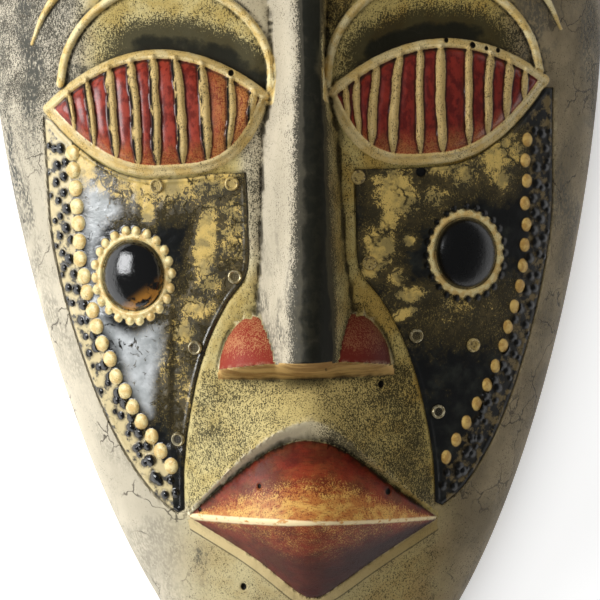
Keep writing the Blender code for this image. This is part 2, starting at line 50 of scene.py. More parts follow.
HOLLOW_GRID = (56, 98)  # the face's own grid is twice as fine
CROWN_FULLNESS, CHIN_FULLNESS = 2.1, 1.43
EYES = {
    -1: {"middle": 43.2, "half": 33.5, "outer": 21.0, "inner": 21.4, "up": 14.4, "down": 20.8},
    1: {"middle": 42.6, "half": 32.8, "outer": 25.4, "inner": 21.8, "up": 12.9, "down": 21.7},
}
RIBS = {  # each rib's places across, at its top and at its bottom, and its half width
    -1: ((-70.2, -68.2, 0.9), (-64.6, -62.4, 1.1), (-57.3, -55.7, 1.4), (-50.6, -49.0, 1.4),
         (-43.6, -43.0, 1.4), (-36.9, -35.3, 1.5), (-28.8, -27.8, 1.5), (-20.2, -21.6, 1.3),
         (-12.8, -15.0, 1.5)),
    1: ((14.3, 14.9, 1.0), (18.0, 18.2, 1.0), (23.9, 21.3, 1.3), (31.1, 27.8, 1.4),
        (37.1, 36.3, 1.1), (43.6, 43.3, 1.4), (52.1, 51.2, 1.1), (58.9, 57.4, 1.2),
        (64.7, 63.0, 1.3), (69.8, 69.2, 1.0)),
}
NOSE_STATIONS = {  # down the nose: its feet, the edges of its ridge and its rise
    "y": (-70.0, -45.0, -27.0, 10.0, 28.0, 50.0, 80.0, 104.0),
    "left foot": (-16.0, -15.0, -12.9, -11.0, -7.2, -8.2, -7.0, -4.0),
    "right foot": (16.0, 15.0, 12.9, 11.4, 8.0, 9.6, 9.6, 8.0),
    "left edge": (-4.1, -4.3, -4.3, -2.9, -2.3, -1.7, 0.0, 1.0),
    "right edge": (4.4, 5.8, 7.1, 7.6, 7.7, 8.0, 8.0, 6.5),
    "rise": (30.0, 26.4, 22.2, 16.2, 13.8, 10.8, 5.1, -1.5),
}
WINGS = {  # the red part of each nostril
    -1: ((-26.4, -62.0), (-25.6, -56.0), (-23.9, -51.1), (-19.8, -46.2), (-16.4, -44.3), (-13.4, -45.2),
         (-10.2, -50.8), (-7.9, -58.5), (-9.0, -63.5), (-18.0, -64.0)),
    1: ((25.8, -62.0), (25.3, -57.0), (24.3, -52.4), (20.4, -47.0), (16.8, -44.7), (13.2, -44.6),
        (9.6, -47.2), (4.2, -58.5), (6.0, -63.5), (16.0, -64.0)),
}
MUZZLE_EDGE = ((-40.0, -105.5), (-35.9, -102.3), (-25.0, -91.5), (-15.9, -83.6), (-4.4, -77.2),
               (5.0, -77.4), (20.2, -90.0), (36.5, -104.1), (41.0, -107.5))
LIP_TOP = ((-37.4, -105.2), (-25.5, -95.0), (-14.0, -86.6), (-6.0, -83.0), (0.5, -82.3),
           (8.0, -84.2), (15.4, -89.0), (27.0, -98.5), (39.4, -107.9))
MOUTH_CORNER, MOUTH_WIDTH, MOUTH_DROP, MOUTH_RISE = (-37.4, -105.2), 76.8, -2.7, 15.5
LIP_BOTTOM = ((-37.4, -105.2), (-18.0, -117.6), (-4.0, -129.3), (0.1, -130.8), (4.5, -129.6),
              (20.5, -119.0), (39.4, -107.9))
PLATE_INNER = ((16.5, -1.0), (16.3, -16.0), (17.0, -31.0), (23.2, -40.0), (28.6, -50.0),
               (33.0, -62.0), (36.2, -76.0), (38.2, -90.0), (38.6, -103.0))
PLATE_OUTER = ((78.0, 22.5), (77.6, 4.0), (77.0, -16.0), (74.0, -34.0), (69.4, -52.0),
               (63.4, -70.0), (56.0, -86.0), (47.5, -98.5), (40.6, -104.0))
PITS = ((45.2, 37.4, 0.7), (53.2, 35.8, 0.9), (57.4, 34.8, 0.6), (61.0, 34.2, 0.7),
        (-20.0, 28.9, 0.9), (-15.0, -95.5, 0.6), (23.8, -98.6, 0.8), (-21.0, -127.2, 0.9),
        (22.6, -66.0, 0.9), (-33.5, -103.0, 0.5), (6.0, -60.8, 0.4))


def soft(value, low, high):
    """Nothing below low, one above high, and smooth between them."""
    share = np.clip((value - low) / (high - low), 0.0, 1.0)
    return share * share * (3.0 - 2.0 * share)


def face_share(x, y, inset=0.0):
    """Nothing at the middle of the widest line and one on the outline, squared."""
    reach = np.where(y > WIDEST, CROWN_REACH, CHIN_REACH) - inset
    fullness = np.where(y > WIDEST, CROWN_FULLNESS, CHIN_FULLNESS)
    return (x / (HALF_WIDTH - inset)) ** 2 + (np.abs(y - WIDEST) / reach) ** fullness


def doming(x, y, inset, foot, height):
    share = np.clip(face_share(x, y, inset), 0.0, 1.0)
    return foot + (height - foot) * (1.0 - share ** 1.25) ** 0.6


def bare_face(x, y):
    """The face before its crisp carving: dome, eye sockets and the swell round the mouth."""
    inside = np.clip(1.0 - np.hypot((np.abs(x) - 41.0) / 34.0, (y - 30.0) / 30.0) ** 2, 0.0, 1.0)
    socket = inside * inside * (3.0 - 2.0 * inside)
    swell = np.exp(-((x / 26.0) ** 2) - ((y + 106.0) / 30.0) ** 2)
    return doming(x, y, 0.0, SIDE_HEIGHT, FACE_HEIGHT) - 3.5 * socket + 7.0 * swell


def in_plan(across, along, inset=0.0):
    """Places in the mask's outline for places in a square from -1 to 1."""
    u = across * np.sqrt(1.0 - along * along / 2)
    v = along * np.sqrt(1.0 - across * across / 2)
    radius = np.maximum(np.hypot(u, v), 1e-9)
    even = np.sin(radius * 1.2) / np.sin(1.2) / radius
    u, v = u * even, v * even
    reach = np.where(v > 0.0, CROWN_REACH, CHIN_REACH) - inset
    fullness = np.where(v > 0.0, CROWN_FULLNESS, CHIN_FULLNESS)
    return u * (HALF_WIDTH - inset), WIDEST + np.sign(v) * reach * np.abs(v) ** (2.0 / fullness)


def smooth_line(points, count):
    """Evenly spaced points on one smooth curve through the given ones."""
    given = np.array([points[0], *points, points[-1]], dtype=float)
    place = np.linspace(0.0, len(points) - 1.0001, 400)
    span = place.astype(int)
    t = (place - span)[:, None]
    a, b, c, d = (given[span + step] for step in range(4))
    fine = 0.5 * (2 * b + (c - a) * t + (2 * a - 5 * b + 4 * c - d) * t ** 2
                  + (3 * b - a - 3 * c + d) * t ** 3)
    gone = np.concatenate(([0.0], np.cumsum(np.hypot(*np.diff(fine, axis=0).T))))
    wanted = np.linspace(0.0, gone[-1], count)
    return np.stack([np.interp(wanted, gone, fine[:, axis]) for axis in (0, 1)], axis=1)


def off_line(x, y, line):
    """How far each place is from a drawn line."""
    nearest = np.full(x.shape, 1e9)
    for (ax, ay), (bx, by) in zip(line, line[1:]):
        dx, dy = bx - ax, by - ay
        share = np.clip(((x - ax) * dx + (y - ay) * dy) / max(dx * dx + dy * dy, 1e-12), 0.0, 1.0)
        nearest = np.minimum(nearest, (x - ax - share * dx) ** 2 + (y - ay - share * dy) ** 2)
    return np.sqrt(nearest)


def within(x, y, outline):
    """Which places lie inside a closed outline."""
    inside = np.zeros(x.shape, dtype=bool)
    for (ax, ay), (bx, by) in zip(outline, np.roll(outline, -1, axis=0)):
        if ay == by:
            continue
        crosses = ((ay > y) != (by > y)) & (x < ax + (y - ay) * (bx - ax) / (by - ay))
        inside ^= crosses
    return inside


def depth_in(x, y, outline):
    """How far inside a closed outline each place is, below nothing outside it."""
    away = off_line(x, y, np.concatenate([outline, outline[:1]]))
    return np.where(within(x, y, outline), away, -away)


def eye_edge(side, share, upper):
    """The eye's upper or lower edge, with share -1 at its outer corner and 1 at its inner one."""
    eye = EYES[side]
    corner = eye["outer"] + (eye["inner"] - eye["outer"]) * (share + 1.0) / 2.0
    power = np.where((share > 0.0) & (not upper), 4.0, 2.0)
    leave = 1.0 - np.abs(share) ** power
    rise = eye["up"] * leave if upper else -eye["down"] * leave
    return side * (eye["middle"] - share * eye["half"]), corner + rise


def eye_line(side, upper):
    share = np.sin(np.linspace(-math.pi / 2, math.pi / 2, 41))
    return np.stack(eye_edge(side, share, upper), axis=1)


def arc_line(side):
    """The raised arc over an eye, from its outer corner round and down to the nose."""
    middle = 40.0 if side < 0 else 41.5
    turns = np.radians(np.linspace(176.0, 8.0, 12))
    arc = [(side * (middle - 32.5 * math.cos(a)), 26.2 + 30.3 * math.sin(a)) for a in turns]
    return smooth_line([*arc, (side * 8.6, 20.0)], 40)


def brow_line(side):
    turns = np.radians(np.linspace(163.0, 48.0, 9))
    return smooth_line([(side * (42.0 - 41.0 * math.cos(a)), 30.0 + 38.0 * math.sin(a)) for a in turns], 30)


INNER_LINE, OUTER_LINE = smooth_line(PLATE_INNER, 41), smooth_line(PLATE_OUTER, 41)


def plate_plan(side, across, along):
    """The cheek plate's plan: across from its inner to its outer edge, along from its top, which
    follows the eye, to its tip."""
    place = along * 40.0
    steps = np.arange(41.0)
    inner = [np.interp(place, steps, INNER_LINE[:, axis]) for axis in (0, 1)]
    outer = [np.interp(place, steps, OUTER_LINE[:, axis]) for axis in (0, 1)]
    x = inner[0] + (outer[0] - inner[0]) * across
    y = inner[1] + (outer[1] - inner[1]) * across
    corner_x = 16.5 + (78.0 - 16.5) * across
    corner_y = -1.0 + (22.5 + 1.0) * across
    share = np.clip((EYES[side]["middle"] - corner_x) / EYES[side]["half"], -1.0, 1.0)
    under_eye = eye_edge(side, share, False)[1] - 1.4 - 1.1
    top = np.minimum(under_eye, -1.0 + np.maximum(0.0, corner_x - 34.0) * 2.0)
    return side * x, y + (top - corner_y) * (1.0 - along) ** 3


def plate_outline(side):
    share = np.linspace(0.0, 1.0, 25)
    long_share = np.linspace(0.0, 1.0, 49)
    edges = [plate_plan(side, share, 0.0 * share), plate_plan(side, 1.0 + 0.0 * long_share, long_share),
             plate_plan(side, share[::-1], 1.0 + 0.0 * share),
             plate_plan(side, 0.0 * long_share, long_share[::-1])]
    return np.concatenate([np.stack(edge, axis=1)[:-1] for edge in edges])


LINES = {
    "upper rim": {side: eye_line(side, True) for side in SIDES},
    "lower rim": {side: eye_line(side, False) for side in SIDES},
    "arc": {side: arc_line(side) for side in SIDES},
    "brow": {side: brow_line(side) for side in SIDES},
    "plate": {side: plate_outline(side) for side in SIDES},
}
MUZZLE_LINE, LIP_TOP_LINE = smooth_line(MUZZLE_EDGE, 60), smooth_line(LIP_TOP, 60)
LIP_BOTTOM_LINE = smooth_line(LIP_BOTTOM, 60)
CREST_LINE = np.array(((-37.4, -105.2), (39.4, -107.9)))
BED_LINES = {}
for side in SIDES:
    loop = np.concatenate([LINES["plate"][side], LINES["plate"][side][:2]])
    heading = np.diff(loop, axis=0)
    heading /= np.maximum(np.hypot(*heading.T), 1e-9)[:, None]
    outwards = np.stack([-heading[:, 1], heading[:, 0]], axis=1) * side
    BED_LINES[side] = loop[:-1] + outwards * 0.3


def down_nose(key, y):
    return np.interp(y, NOSE_STATIONS["y"], NOSE_STATIONS[key])


def wing_shares(x, y):
    """Places on a nostril wing: outwards from the nose and down its length."""
    down = np.clip((-44.0 - y) / 21.0, 0.0, 1.0)
    inner = 13.4 - 6.6 * down
    outer = 16.4 + 10.6 * np.sin(math.pi / 2 * down ** 0.62)
    return (np.abs(x) - inner) / (outer - inner), down


def crest_height(x):
    return MOUTH_CORNER[1] + (x - MOUTH_CORNER[0]) / MOUTH_WIDTH * MOUTH_DROP


def mouth_share(x, y):
    """One on the mouth's upper edge, nothing on its crest and minus one on its lower edge."""
    crest = crest_height(x)
    top = np.interp(x, LIP_TOP_LINE[:, 0], LIP_TOP_LINE[:, 1])
    bottom = np.interp(x, LIP_BOTTOM_LINE[:, 0], LIP_BOTTOM_LINE[:, 1])
    up = (y - crest) / np.maximum(top - crest, 0.05)
    down = (y - crest) / np.maximum(crest - bottom, 0.05)
    return np.where(y > crest, up, down)


def off_carving(x, y):
    """How far each place is from the nearest crisp line of the carving."""
    far = np.full(x.shape, 1e9)
    for side in SIDES:
        eye = EYES[side]
        share = np.clip((eye["middle"] - side * x) / eye["half"], -1.0, 1.0)
        inside = (y < eye_edge(side, share, True)[1]) & (y > eye_edge(side, share, False)[1])
        far = np.where(inside & (np.abs(share) < 1.0), 0.0, far)
        for name in ("upper rim", "lower rim", "arc", "brow"):
            far = np.minimum(far, np.maximum(0.0, off_line(x, y, LINES[name][side]) - 1.2))
        far = np.minimum(far, np.abs(depth_in(x, y, LINES["plate"][side])))
    for key in ("left foot", "right foot"):
        near = np.abs(x - down_nose(key, y)) + np.maximum(0.0, y - 95.0) + np.maximum(0.0, -60.0 - y)
        far = np.minimum(far, near)
    outwards, _ = wing_shares(x, y)
    wing = np.maximum(np.abs(outwards - 0.5) - 0.5, 0.0) * 6.0 + np.maximum(np.abs(y + 54.5) - 9.0, 0.0)
    far = np.minimum(far, wing)
    base = np.maximum(np.abs(y + 60.0) - 3.0, 0.0) + np.maximum(np.abs(x) - 27.0, 0.0)
    far = np.minimum(far, base)
    for line in (MUZZLE_LINE, LIP_TOP_LINE, LIP_BOTTOM_LINE, CREST_LINE):
        far = np.minimum(far, off_line(x, y, line))
    for px, py, _ in PITS:
        far = np.minimum(far, np.maximum(0.0, np.hypot(x - px, y - py) - 1.2))
    return far


def unevenness(x, y, size, seed):
    """A hand's unevenness between -1 and 1, about size across."""
    return np.array([noise.noise(Vector((a / size, b / size, seed))) for a, b in zip(x, y)])


def bead(distance, half, rise):
    """The height of a rounded ridge at a distance from its middle."""
    return rise * np.clip(1.0 - (distance / (half * 1.1)) ** 2, 0.0, 1.0)


def carve_eyes(x, y, height, marks, shiver):
    """The bulged eyes with their ribs and the hollows between these."""
    eye_in, rib_in, rib_turn = (np.full(x.shape, OUTSIDE) for _ in range(3))
    strip, eye_along = np.zeros(x.shape), np.zeros(x.shape)
    for side in SIDES:
        eye = EYES[side]
        share = (eye["middle"] - side * x) / eye["half"]
        kept = np.clip(share, -1.0, 1.0)
        top, bottom = eye_edge(side, kept, True)[1], eye_edge(side, kept, False)[1]
        half = np.maximum((top - bottom) / 2, 1e-6)
        off_middle = np.clip(np.abs(y - (top + bottom) / 2) / half, 0.0, 1.0)
        inside = (np.abs(share) < 1.0) & (off_middle < 1.0)
        bulge = 6.0 * (np.clip(1.0 - kept * kept, 0.0, 1.0) * (1.0 - off_middle ** 2)) ** 0.6
        height = height + np.where(inside, bulge, 0.0)
        eye_in = np.where(inside, np.minimum(top - y, y - bottom), eye_in)
        eye_along = np.where(inside, (y - bottom) / (2 * half), eye_along)
        down = np.where(inside, (top - y) / (2 * half), 0.0)
        edges = [side * 6.0 + 0.0 * y] if side > 0 else [-79.0 + 0.0 * y]
        for number, (at_top, at_bottom, wide) in enumerate(RIBS[side]):
            bow = 0.7 * side * np.sin(math.pi * down) * (-1.0 if number % 2 else -0.4)
            middle = at_top + (at_bottom - at_top) * down + bow + 0.10 * np.sin(y * 0.42 + number * 1.9)
            wide = wide * (1.0 + 0.05 * np.sin(y * 0.55 + number * 2.3) + 0.12 * shiver)
            ends = np.clip(np.minimum(top - y + 0.6, y - bottom - 1.7) / 4.5, 0.0, 1.0) ** 0.6
            wide = wide * (0.25 + 0.75 * ends)
            off = np.abs(x - middle)
            height = height + np.where(inside, bead(off, wide, 2.1) * ends, 0.0)
            closer = inside & (wide - off > rib_in)
            rib_in = np.where(closer, wide - off, rib_in)
            rib_turn = np.where(closer, (x - middle) / wide, rib_turn)
            edges.append(middle)
        edges.append(-8.0 + 0.0 * y if side < 0 else 77.0 + 0.0 * y)
        for before, after in zip(edges, edges[1:]):
            place = (x - before) / np.maximum(after - before, 0.5)
            here = inside & (place > 0.0) & (place < 1.0)
            strip = np.where(here, 1.0 - (2.0 * place - 1.0) ** 2, strip)
    height = height + 1.1 * strip * soft(eye_in, 0.8, 5.0)
    marks["eye"], marks["rib"], marks["rib_turn"], marks["eye_up"] = eye_in, rib_in, rib_turn, eye_along
    return height


def carve_rims(x, y, height, marks):
    """The rims round the eyes, and the arcs and brows over them."""
    eye_in = marks["eye"]
    rim_in, arc_in, lid = (np.full(x.shape, OUTSIDE) for _ in range(3))
    for side in SIDES:
        upper = off_line(x, y, LINES["upper rim"][side])
        lower = off_line(x, y, LINES["lower rim"][side])
        height = height + bead(upper, 1.55, 2.3)
        flat = 1.2 * (1.0 - soft(lower, 0.8, 1.9))
        height = height + np.where(upper < 1.55, 0.0, flat)
        rim_in = np.maximum(rim_in, np.maximum(1.5 - upper, 1.6 - lower))
        away = off_line(x, y, LINES["arc"][side])
        arc_top = bead(away, 1.35, 1.7)
        height = height + np.where((upper < 1.55) | (eye_in > 0), 0.0, arc_top)
        height = height - 0.5 * np.exp(-((away - 1.75) / 0.45) ** 2) * (eye_in < 0)
        brow = off_line(x, y, LINES["brow"][side])
        line = LINES["brow"][side]
        ends = np.minimum(*(np.hypot(x - px, y - py) for px, py in (line[0], line[-1])))
        thick = 1.75 * (0.25 + 0.75 * np.clip(ends / 22.0, 0.0, 1.0))
        height = height + bead(brow, thick, 1.9) * (0.3 + 0.7 * np.clip(ends / 10.0, 0.0, 1.0))
        arc_in = np.maximum(arc_in, np.maximum(np.where(eye_in < 0, 1.3 - away, OUTSIDE), thick - brow))
        inner = within(x, y, np.concatenate([LINES["arc"][side], LINES["upper rim"][side][::-1]]))
        lid = np.where(inner & (upper > 1.2), upper, lid)
    marks["rim"], marks["arc"], marks["lid"] = rim_in, arc_in, lid
    return height


def carve_nose(x, y, height, marks):
    """The leaning nose, its two wings and the cut under them."""
    left, right = down_nose("left foot", y), down_nose("right foot", y)
    left_edge, right_edge = down_nose("left edge", y), down_nose("right edge", y)
    middle = (left_edge + right_edge) / 2
    level = bare_face(middle, y)
    rise = down_nose("rise", y)
    reach = np.where(x < middle, (x - left) / (left_edge - left), (right - x) / (right - right_edge))
    foot = np.where(x < middle, bare_face(left, y), bare_face(right, y))
    flank = foot + (level + 0.90 * rise - foot) * np.clip(reach, 0.0, 1.0) ** 0.92
    crown = 0.10 * rise * (1.0 - np.clip((x - middle) / ((right_edge - left_edge) / 2), -1.0, 1.0) ** 2)
    nose_top = flank + np.where(reach >= 1.0, crown, 0.0)
    turn = np.clip((x - middle) / ((right - left) / 2), -3.0, 3.0)
    cut_top, cut_foot = -58.4 - 1.7 * (x / 26.0) ** 2, -63.7 + 0.6 * (x / 26.0) ** 2
    outwards, down = wing_shares(x, y)
    swell = (0.15 + 0.85 * np.sin(math.pi / 2 * down ** 0.8))
    swell = swell * np.sqrt(np.clip(1.0 - np.clip(outwards, 0.0, 1.0) ** 2.4, 0.0, 1.0))
    wing_top = bare_face(x, y) + 16.0 * swell
    on_wing = (outwards < 1.0) & (y < -44.0)
    on_nose = (x > left) & (x < right) & (y > -70.0) & (rise > 0.0)
    grown = np.maximum(np.where(on_nose, nose_top, -1e3), np.where(on_wing, wing_top, -1e3))
    lifted = grown > height
    base_in = np.where(lifted & (y < cut_top + 0.3), np.minimum(cut_top + 0.3 - y, y - cut_foot), OUTSIDE)
    grown = height + (grown - height) * np.clip((y - cut_foot) / (cut_top - cut_foot), 0.0, 1.0)
    nose_wins = np.where(on_nose, nose_top, -1e3) >= np.where(on_wing, wing_top, -1e3)
    nose_in = np.where((grown > height) & nose_wins, 1.0, OUTSIDE)
    wing_in = np.full(x.shape, OUTSIDE)
    for side in SIDES:
        wing_in = np.maximum(wing_in, depth_in(x, y, smooth_line([*WINGS[side], WINGS[side][0]], 50)))
    on_top = (grown > height) & ~nose_wins & (y > cut_top)
    marks["wing_border"] = np.where(on_top, soft(wing_in, -2.4, -1.3) * soft(wing_in, 0.2, -0.4), 0.0)
    wing_in = np.where((grown > height) & ~nose_wins, np.minimum(wing_in, y - cut_top), OUTSIDE)
    wing_in = np.where(wing_in > OUTSIDE, np.minimum(wing_in, (wing_top - nose_top) * 0.45 + 0.4), wing_in)
    foot_off = np.minimum(np.abs(x - left), np.abs(x - right)) + np.maximum(0.0, -44.0 - y) * 2.0
    height = height - 0.6 * np.exp(-(foot_off / 0.8) ** 2) * soft(y, 105.0, 60.0)
    height = np.maximum(height, grown)
    marks["turn"] = np.where(nose_in > 0.0, turn, np.where(x < middle, -2.0, 2.0))
    marks["nose"], marks["wing"], marks["base"] = nose_in, wing_in, base_in
    return height


def carve_mouth(x, y, height, marks):
    """The field over the mouth, the slope down to it, the lips and the ledge below them."""
    edge = np.interp(x, MUZZLE_LINE[:, 0], MUZZLE_LINE[:, 1])
    lip_top = np.interp(x, LIP_TOP_LINE[:, 0], LIP_TOP_LINE[:, 1])
    inner = np.interp(-y, -INNER_LINE[:, 1], INNER_LINE[:, 0]) - 1.2
    aside = np.clip(np.abs(x) / 39.0, 0.0, 1.0)
    towards = np.clip((-62.0 - y) / np.maximum(-62.0 - edge, 1.0), 0.0, 1.0)
    field = MOUTH_RISE * (0.03 + 0.62 * towards ** 1.3 * (1.0 - aside ** 1.8))
    field = field * soft(np.abs(x), inner + 0.6, inner - 3.0)
    on_field = (y < -60.0) & (y >= edge) & (np.abs(x) < inner + 0.6)
    share = mouth_share(x, y)
    across = np.clip((x - MOUTH_CORNER[0]) / MOUTH_WIDTH * 2.0 - 1.0, -1.0, 1.0)
    roof_middle = 1.0 - np.abs(across) ** 1.7
    in_mouth = (np.abs(share) < 1.0) & (np.abs(across) < 1.0)
    edge_share = np.where(share > 0.0, 0.28, 0.10)
    peak = edge_share + (1.0 - edge_share) * (1.0 - np.clip(np.abs(share), 0.0, 1.0))
    roof = 0.8 + MOUTH_RISE * roof_middle * peak
    lip_base = MOUTH_RISE * roof_middle * 0.28
    fall = np.clip((edge - y) / np.maximum(edge - lip_top, 0.6), 0.0, 1.0)
    field_edge = MOUTH_RISE * (0.03 + 0.62 * (1.0 - aside ** 1.8))
    slope = field_edge + (lip_base - 1.0 - field_edge) * fall ** 1.25
    on_slope = (y < edge) & (y > lip_top) & (np.abs(across) < 1.0)
    below = np.where((share <= -1.0) & (np.abs(across) < 1.0), off_line(x, y, LIP_BOTTOM_LINE), 9.0)
    ledge = 1.7 * roof_middle * (1.0 - soft(below, 2.4, 3.6)) + 0.35 * np.exp(-((below - 2.6) / 0.5) ** 2)
    around = np.where(on_field, field, np.where(share > 0.0, np.where(y < edge, slope, 0.0), ledge))
    around = np.where(np.abs(across) < 1.0, around, 0.0)
    lip_off = np.minimum(off_line(x, y, LIP_TOP_LINE), off_line(x, y, LIP_BOTTOM_LINE))
    lip_in = np.where(in_mouth, lip_off, -lip_off)
    lifted = around + (roof - around) * np.where(np.abs(across) < 1.0, soft(lip_in, -0.3, 0.3), 0.0)
    height = np.where(y < -58.0, np.maximum(height, bare_face(x, y) + lifted), height)
    marks["lip"] = lip_in
    marks["roof"] = np.where(in_mouth, share, np.sign(share) * 1.5)
    marks["slope"] = np.where(on_slope, np.minimum(edge - y, y - lip_top), OUTSIDE)
    marks["field"] = np.where(on_field, np.minimum(y - edge, inner - np.abs(x)), OUTSIDE)
    marks["band"] = np.where((below > 0.0) & (below < 9.0), 3.0 - below, OUTSIDE)
    return height


def carve(x, y):
    """The carved face's height, and how far inside each carved or painted part each place is."""
    height = bare_face(x, y)
    marks = {}
    shiver = unevenness(x, y, 4.0, 3.0)
    slow = unevenness(x, y, 22.0, 8.0)
    height = height + 0.10 * shiver + 0.45 * slow * soft(face_share(x, y), 1.0, 0.7)
    height = carve_eyes(x, y, height, marks, shiver)
    for part in (carve_rims, carve_nose, carve_mouth):
        height = part(x, y, height, marks)
    bed = np.full(x.shape, OUTSIDE)
    for side in SIDES:
        bed = np.maximum(bed, depth_in(x, y, LINES["plate"][side]))
    sunk = soft(bed, -0.5, -0.1)
    height = height + (bare_face(x, y) - 1.3 - height) * sunk
    pit = np.full(x.shape, OUTSIDE)
    for px, py, radius in PITS:
        away = np.hypot(x - px, (y - py) * 0.8)
        height = height - 0.9 * (1.0 - soft(away, radius * 0.4, radius * 1.3))
        pit = np.maximum(pit, radius - away)
    marks["pit"] = pit
    return height, marks


def refine(bm, reach):
    """Halves the edges near the carving's crisp lines."""
    middles = np.array([(edge.verts[0].co + edge.verts[1].co) / 2 for edge in bm.edges])
    near = off_carving(middles[:, 0], middles[:, 1]) < reach
    picked = [edge for edge, wanted in zip(bm.edges[:], near) if wanted]
    bmesh.ops.subdivide_edges(bm, edges=picked, cuts=1, use_grid_fill=True, use_single_edge=True)


def settle(bm, line, reach):
    """Moves the corners beside a crisp line onto it, so that it runs clean."""
    places = np.array([corner.co for corner in bm.verts])
    x, y = places[:, 0], places[:, 1]
    best, along = np.full(x.shape, reach), np.zeros((2, len(x)))
    for (ax, ay), (bx, by) in zip(line, line[1:]):
        dx, dy = bx - ax, by - ay
        share = np.clip(((x - ax) * dx + (y - ay) * dy) / max(dx * dx + dy * dy, 1e-12), 0.0, 1.0)
        off = np.hypot(x - ax - share * dx, y - ay - share * dy)
        closer = off < best
        best = np.where(closer, off, best)
        along = np.where(closer, (ax + share * dx, ay + share * dy), along)
    for index in np.nonzero(best < reach)[0]:
        bm.verts[index].co = (along[0, index], along[1, index], 0.0)


def grid_border(across, along, start=0):
    """The border corners of a grid in order round it, as create_grid numbers them."""
    row = across + 1
    bottom = [start + i for i in range(across)]
    right = [start + row * j + across for j in range(along)]
    top = [start + row * along + i for i in range(across, 0, -1)]
    left = [start + row * j for j in range(along, 0, -1)]
    return bottom + right + top + left


def close_between(bm, fine, coarse):
    """Faces between a fine loop of corners and a coarser one that runs beside it."""
    ratio = len(fine) // len(coarse)
    for index, near in enumerate(coarse):
        following = coarse[(index + 1) % len(coarse)]
        for step in range(ratio):
            a, b = fine[index * ratio + step], fine[(index * ratio + step + 1) % len(fine)]
            bm.faces.new((a, b, near if step < ratio // 2 else following))
        bm.faces.new((fine[index * ratio + ratio // 2], following, near))


def lay_grid(bm, across, along, shape):
    """A grid whose corners, from -1 to 1 each way, are moved to the places that shape gives."""
    corners = bmesh.ops.create_grid(bm, x_segments=across, y_segments=along, size=1.0)["verts"]
    flat = np.array([corner.co for corner in corners])
    for corner, place in zip(corners, zip(*shape(flat[:, 0], flat[:, 1]))):
        corner.co = place
    return corners


def hollow_shape(across, along):
    """The gouged hollow behind the face, one wall's thickness inside its outline."""
    x, y = in_plan(across, along, WALL)
    gouge = 0.35 * np.abs(np.sin(x * 0.55 + 1.5 * np.sin(y * 0.045))) + 0.25 * unevenness(x, y, 7.0, 2.0)
    deep = doming(x, y, WALL, 0.0, HOLLOW_HEIGHT)
    return x, y, deep + (gouge + 0.3) * soft(face_share(x, y, WALL), 1.0, 0.9)


def make_face_skin():
    """The whole front as one dense skin, then its sides, its flat back rim and its hollow."""
    bm = bmesh.new()
    across, along = 2 * HOLLOW_GRID[0], 2 * HOLLOW_GRID[1]
    lay_grid(bm, across, along, lambda u, v: (*in_plan(u, v), 0.0 * u))
    refine(bm, 2.2)
    refine(bm, 0.75)
    bm.verts.ensure_lookup_table()
    down = np.linspace(98.0, -46.0, 80)
    feet = [np.stack([down_nose(key, down), down], axis=1) for key in ("left foot", "right foot")]
    for line in (LIP_TOP_LINE, LIP_BOTTOM_LINE, MUZZLE_LINE, CREST_LINE, BED_LINES[-1], BED_LINES[1], *feet):
        settle(bm, line, 0.22)
    plan = np.array([corner.co for corner in bm.verts])
    height, _ = carve(plan[:, 0], plan[:, 1])
    front = bm.verts.layers.float.new("front")
    for corner, up in zip(bm.verts, height):
        corner.co.z = up
        corner[front] = 1.0
    loop = [bm.verts[index] for index in grid_border(across, along)]
    for level, inset, painted in ((8.0, 0.0, 1.0), (3.0, 0.1, 0.8), (0.6, 0.5, 0.55), (0.0, 1.2, 0.0)):
        lower = []
        for above in loop:
            away = Vector((above.co.x / HALF_WIDTH, (above.co.y - WIDEST) / CHIN_REACH, 0.0)).normalized()
            lower.append(bm.verts.new(above.co - away * inset))
            lower[-1].co.z = level
            lower[-1][front] = painted
        for index in range(len(loop)):
            bm.faces.new((loop[index - 1], loop[index], lower[index], lower[index - 1]))
        loop = lower
    hollow = lay_grid(bm, *HOLLOW_GRID, hollow_shape)
    for corner in hollow:
        corner[front] = 0.0
    close_between(bm, loop, [hollow[index] for index in grid_border(*HOLLOW_GRID)])
    return bm


def add_object(name, data):
    made = bpy.data.objects.new(name, data)
    bpy.context.scene.collection.objects.link(made)
    return made


def finish_piece(name, bm, surface, node, sharp):
    """The bmesh, still in millimetres, as a finished piece that stands for a CAD node."""
    bmesh.ops.recalc_face_normals(bm, faces=bm.faces)
    bmesh.ops.scale(bm, vec=(MILLIMETRE, MILLIMETRE, MILLIMETRE), verts=bm.verts)
    mesh = bpy.data.meshes.new(name)
    bm.to_mesh(mesh)
    bm.free()
    mesh.shade_smooth()
    mesh.set_sharp_from_angle(angle=math.radians(sharp))
    mesh.materials.append(surface)
    piece = add_object(name, mesh)
    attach(piece, "root")
    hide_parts(node)
    return piece


def corners_of(mesh, what="co"):
    flat = np.empty(len(mesh.vertices) * 3)
    mesh.vertices.foreach_get(what, flat)
    return flat.reshape(-1, 3)


def write_mark(mesh, name, values):
    mark = mesh.attributes.new(name, "FLOAT", "POINT")
    mark.data.foreach_set("value", values.astype(np.float32))


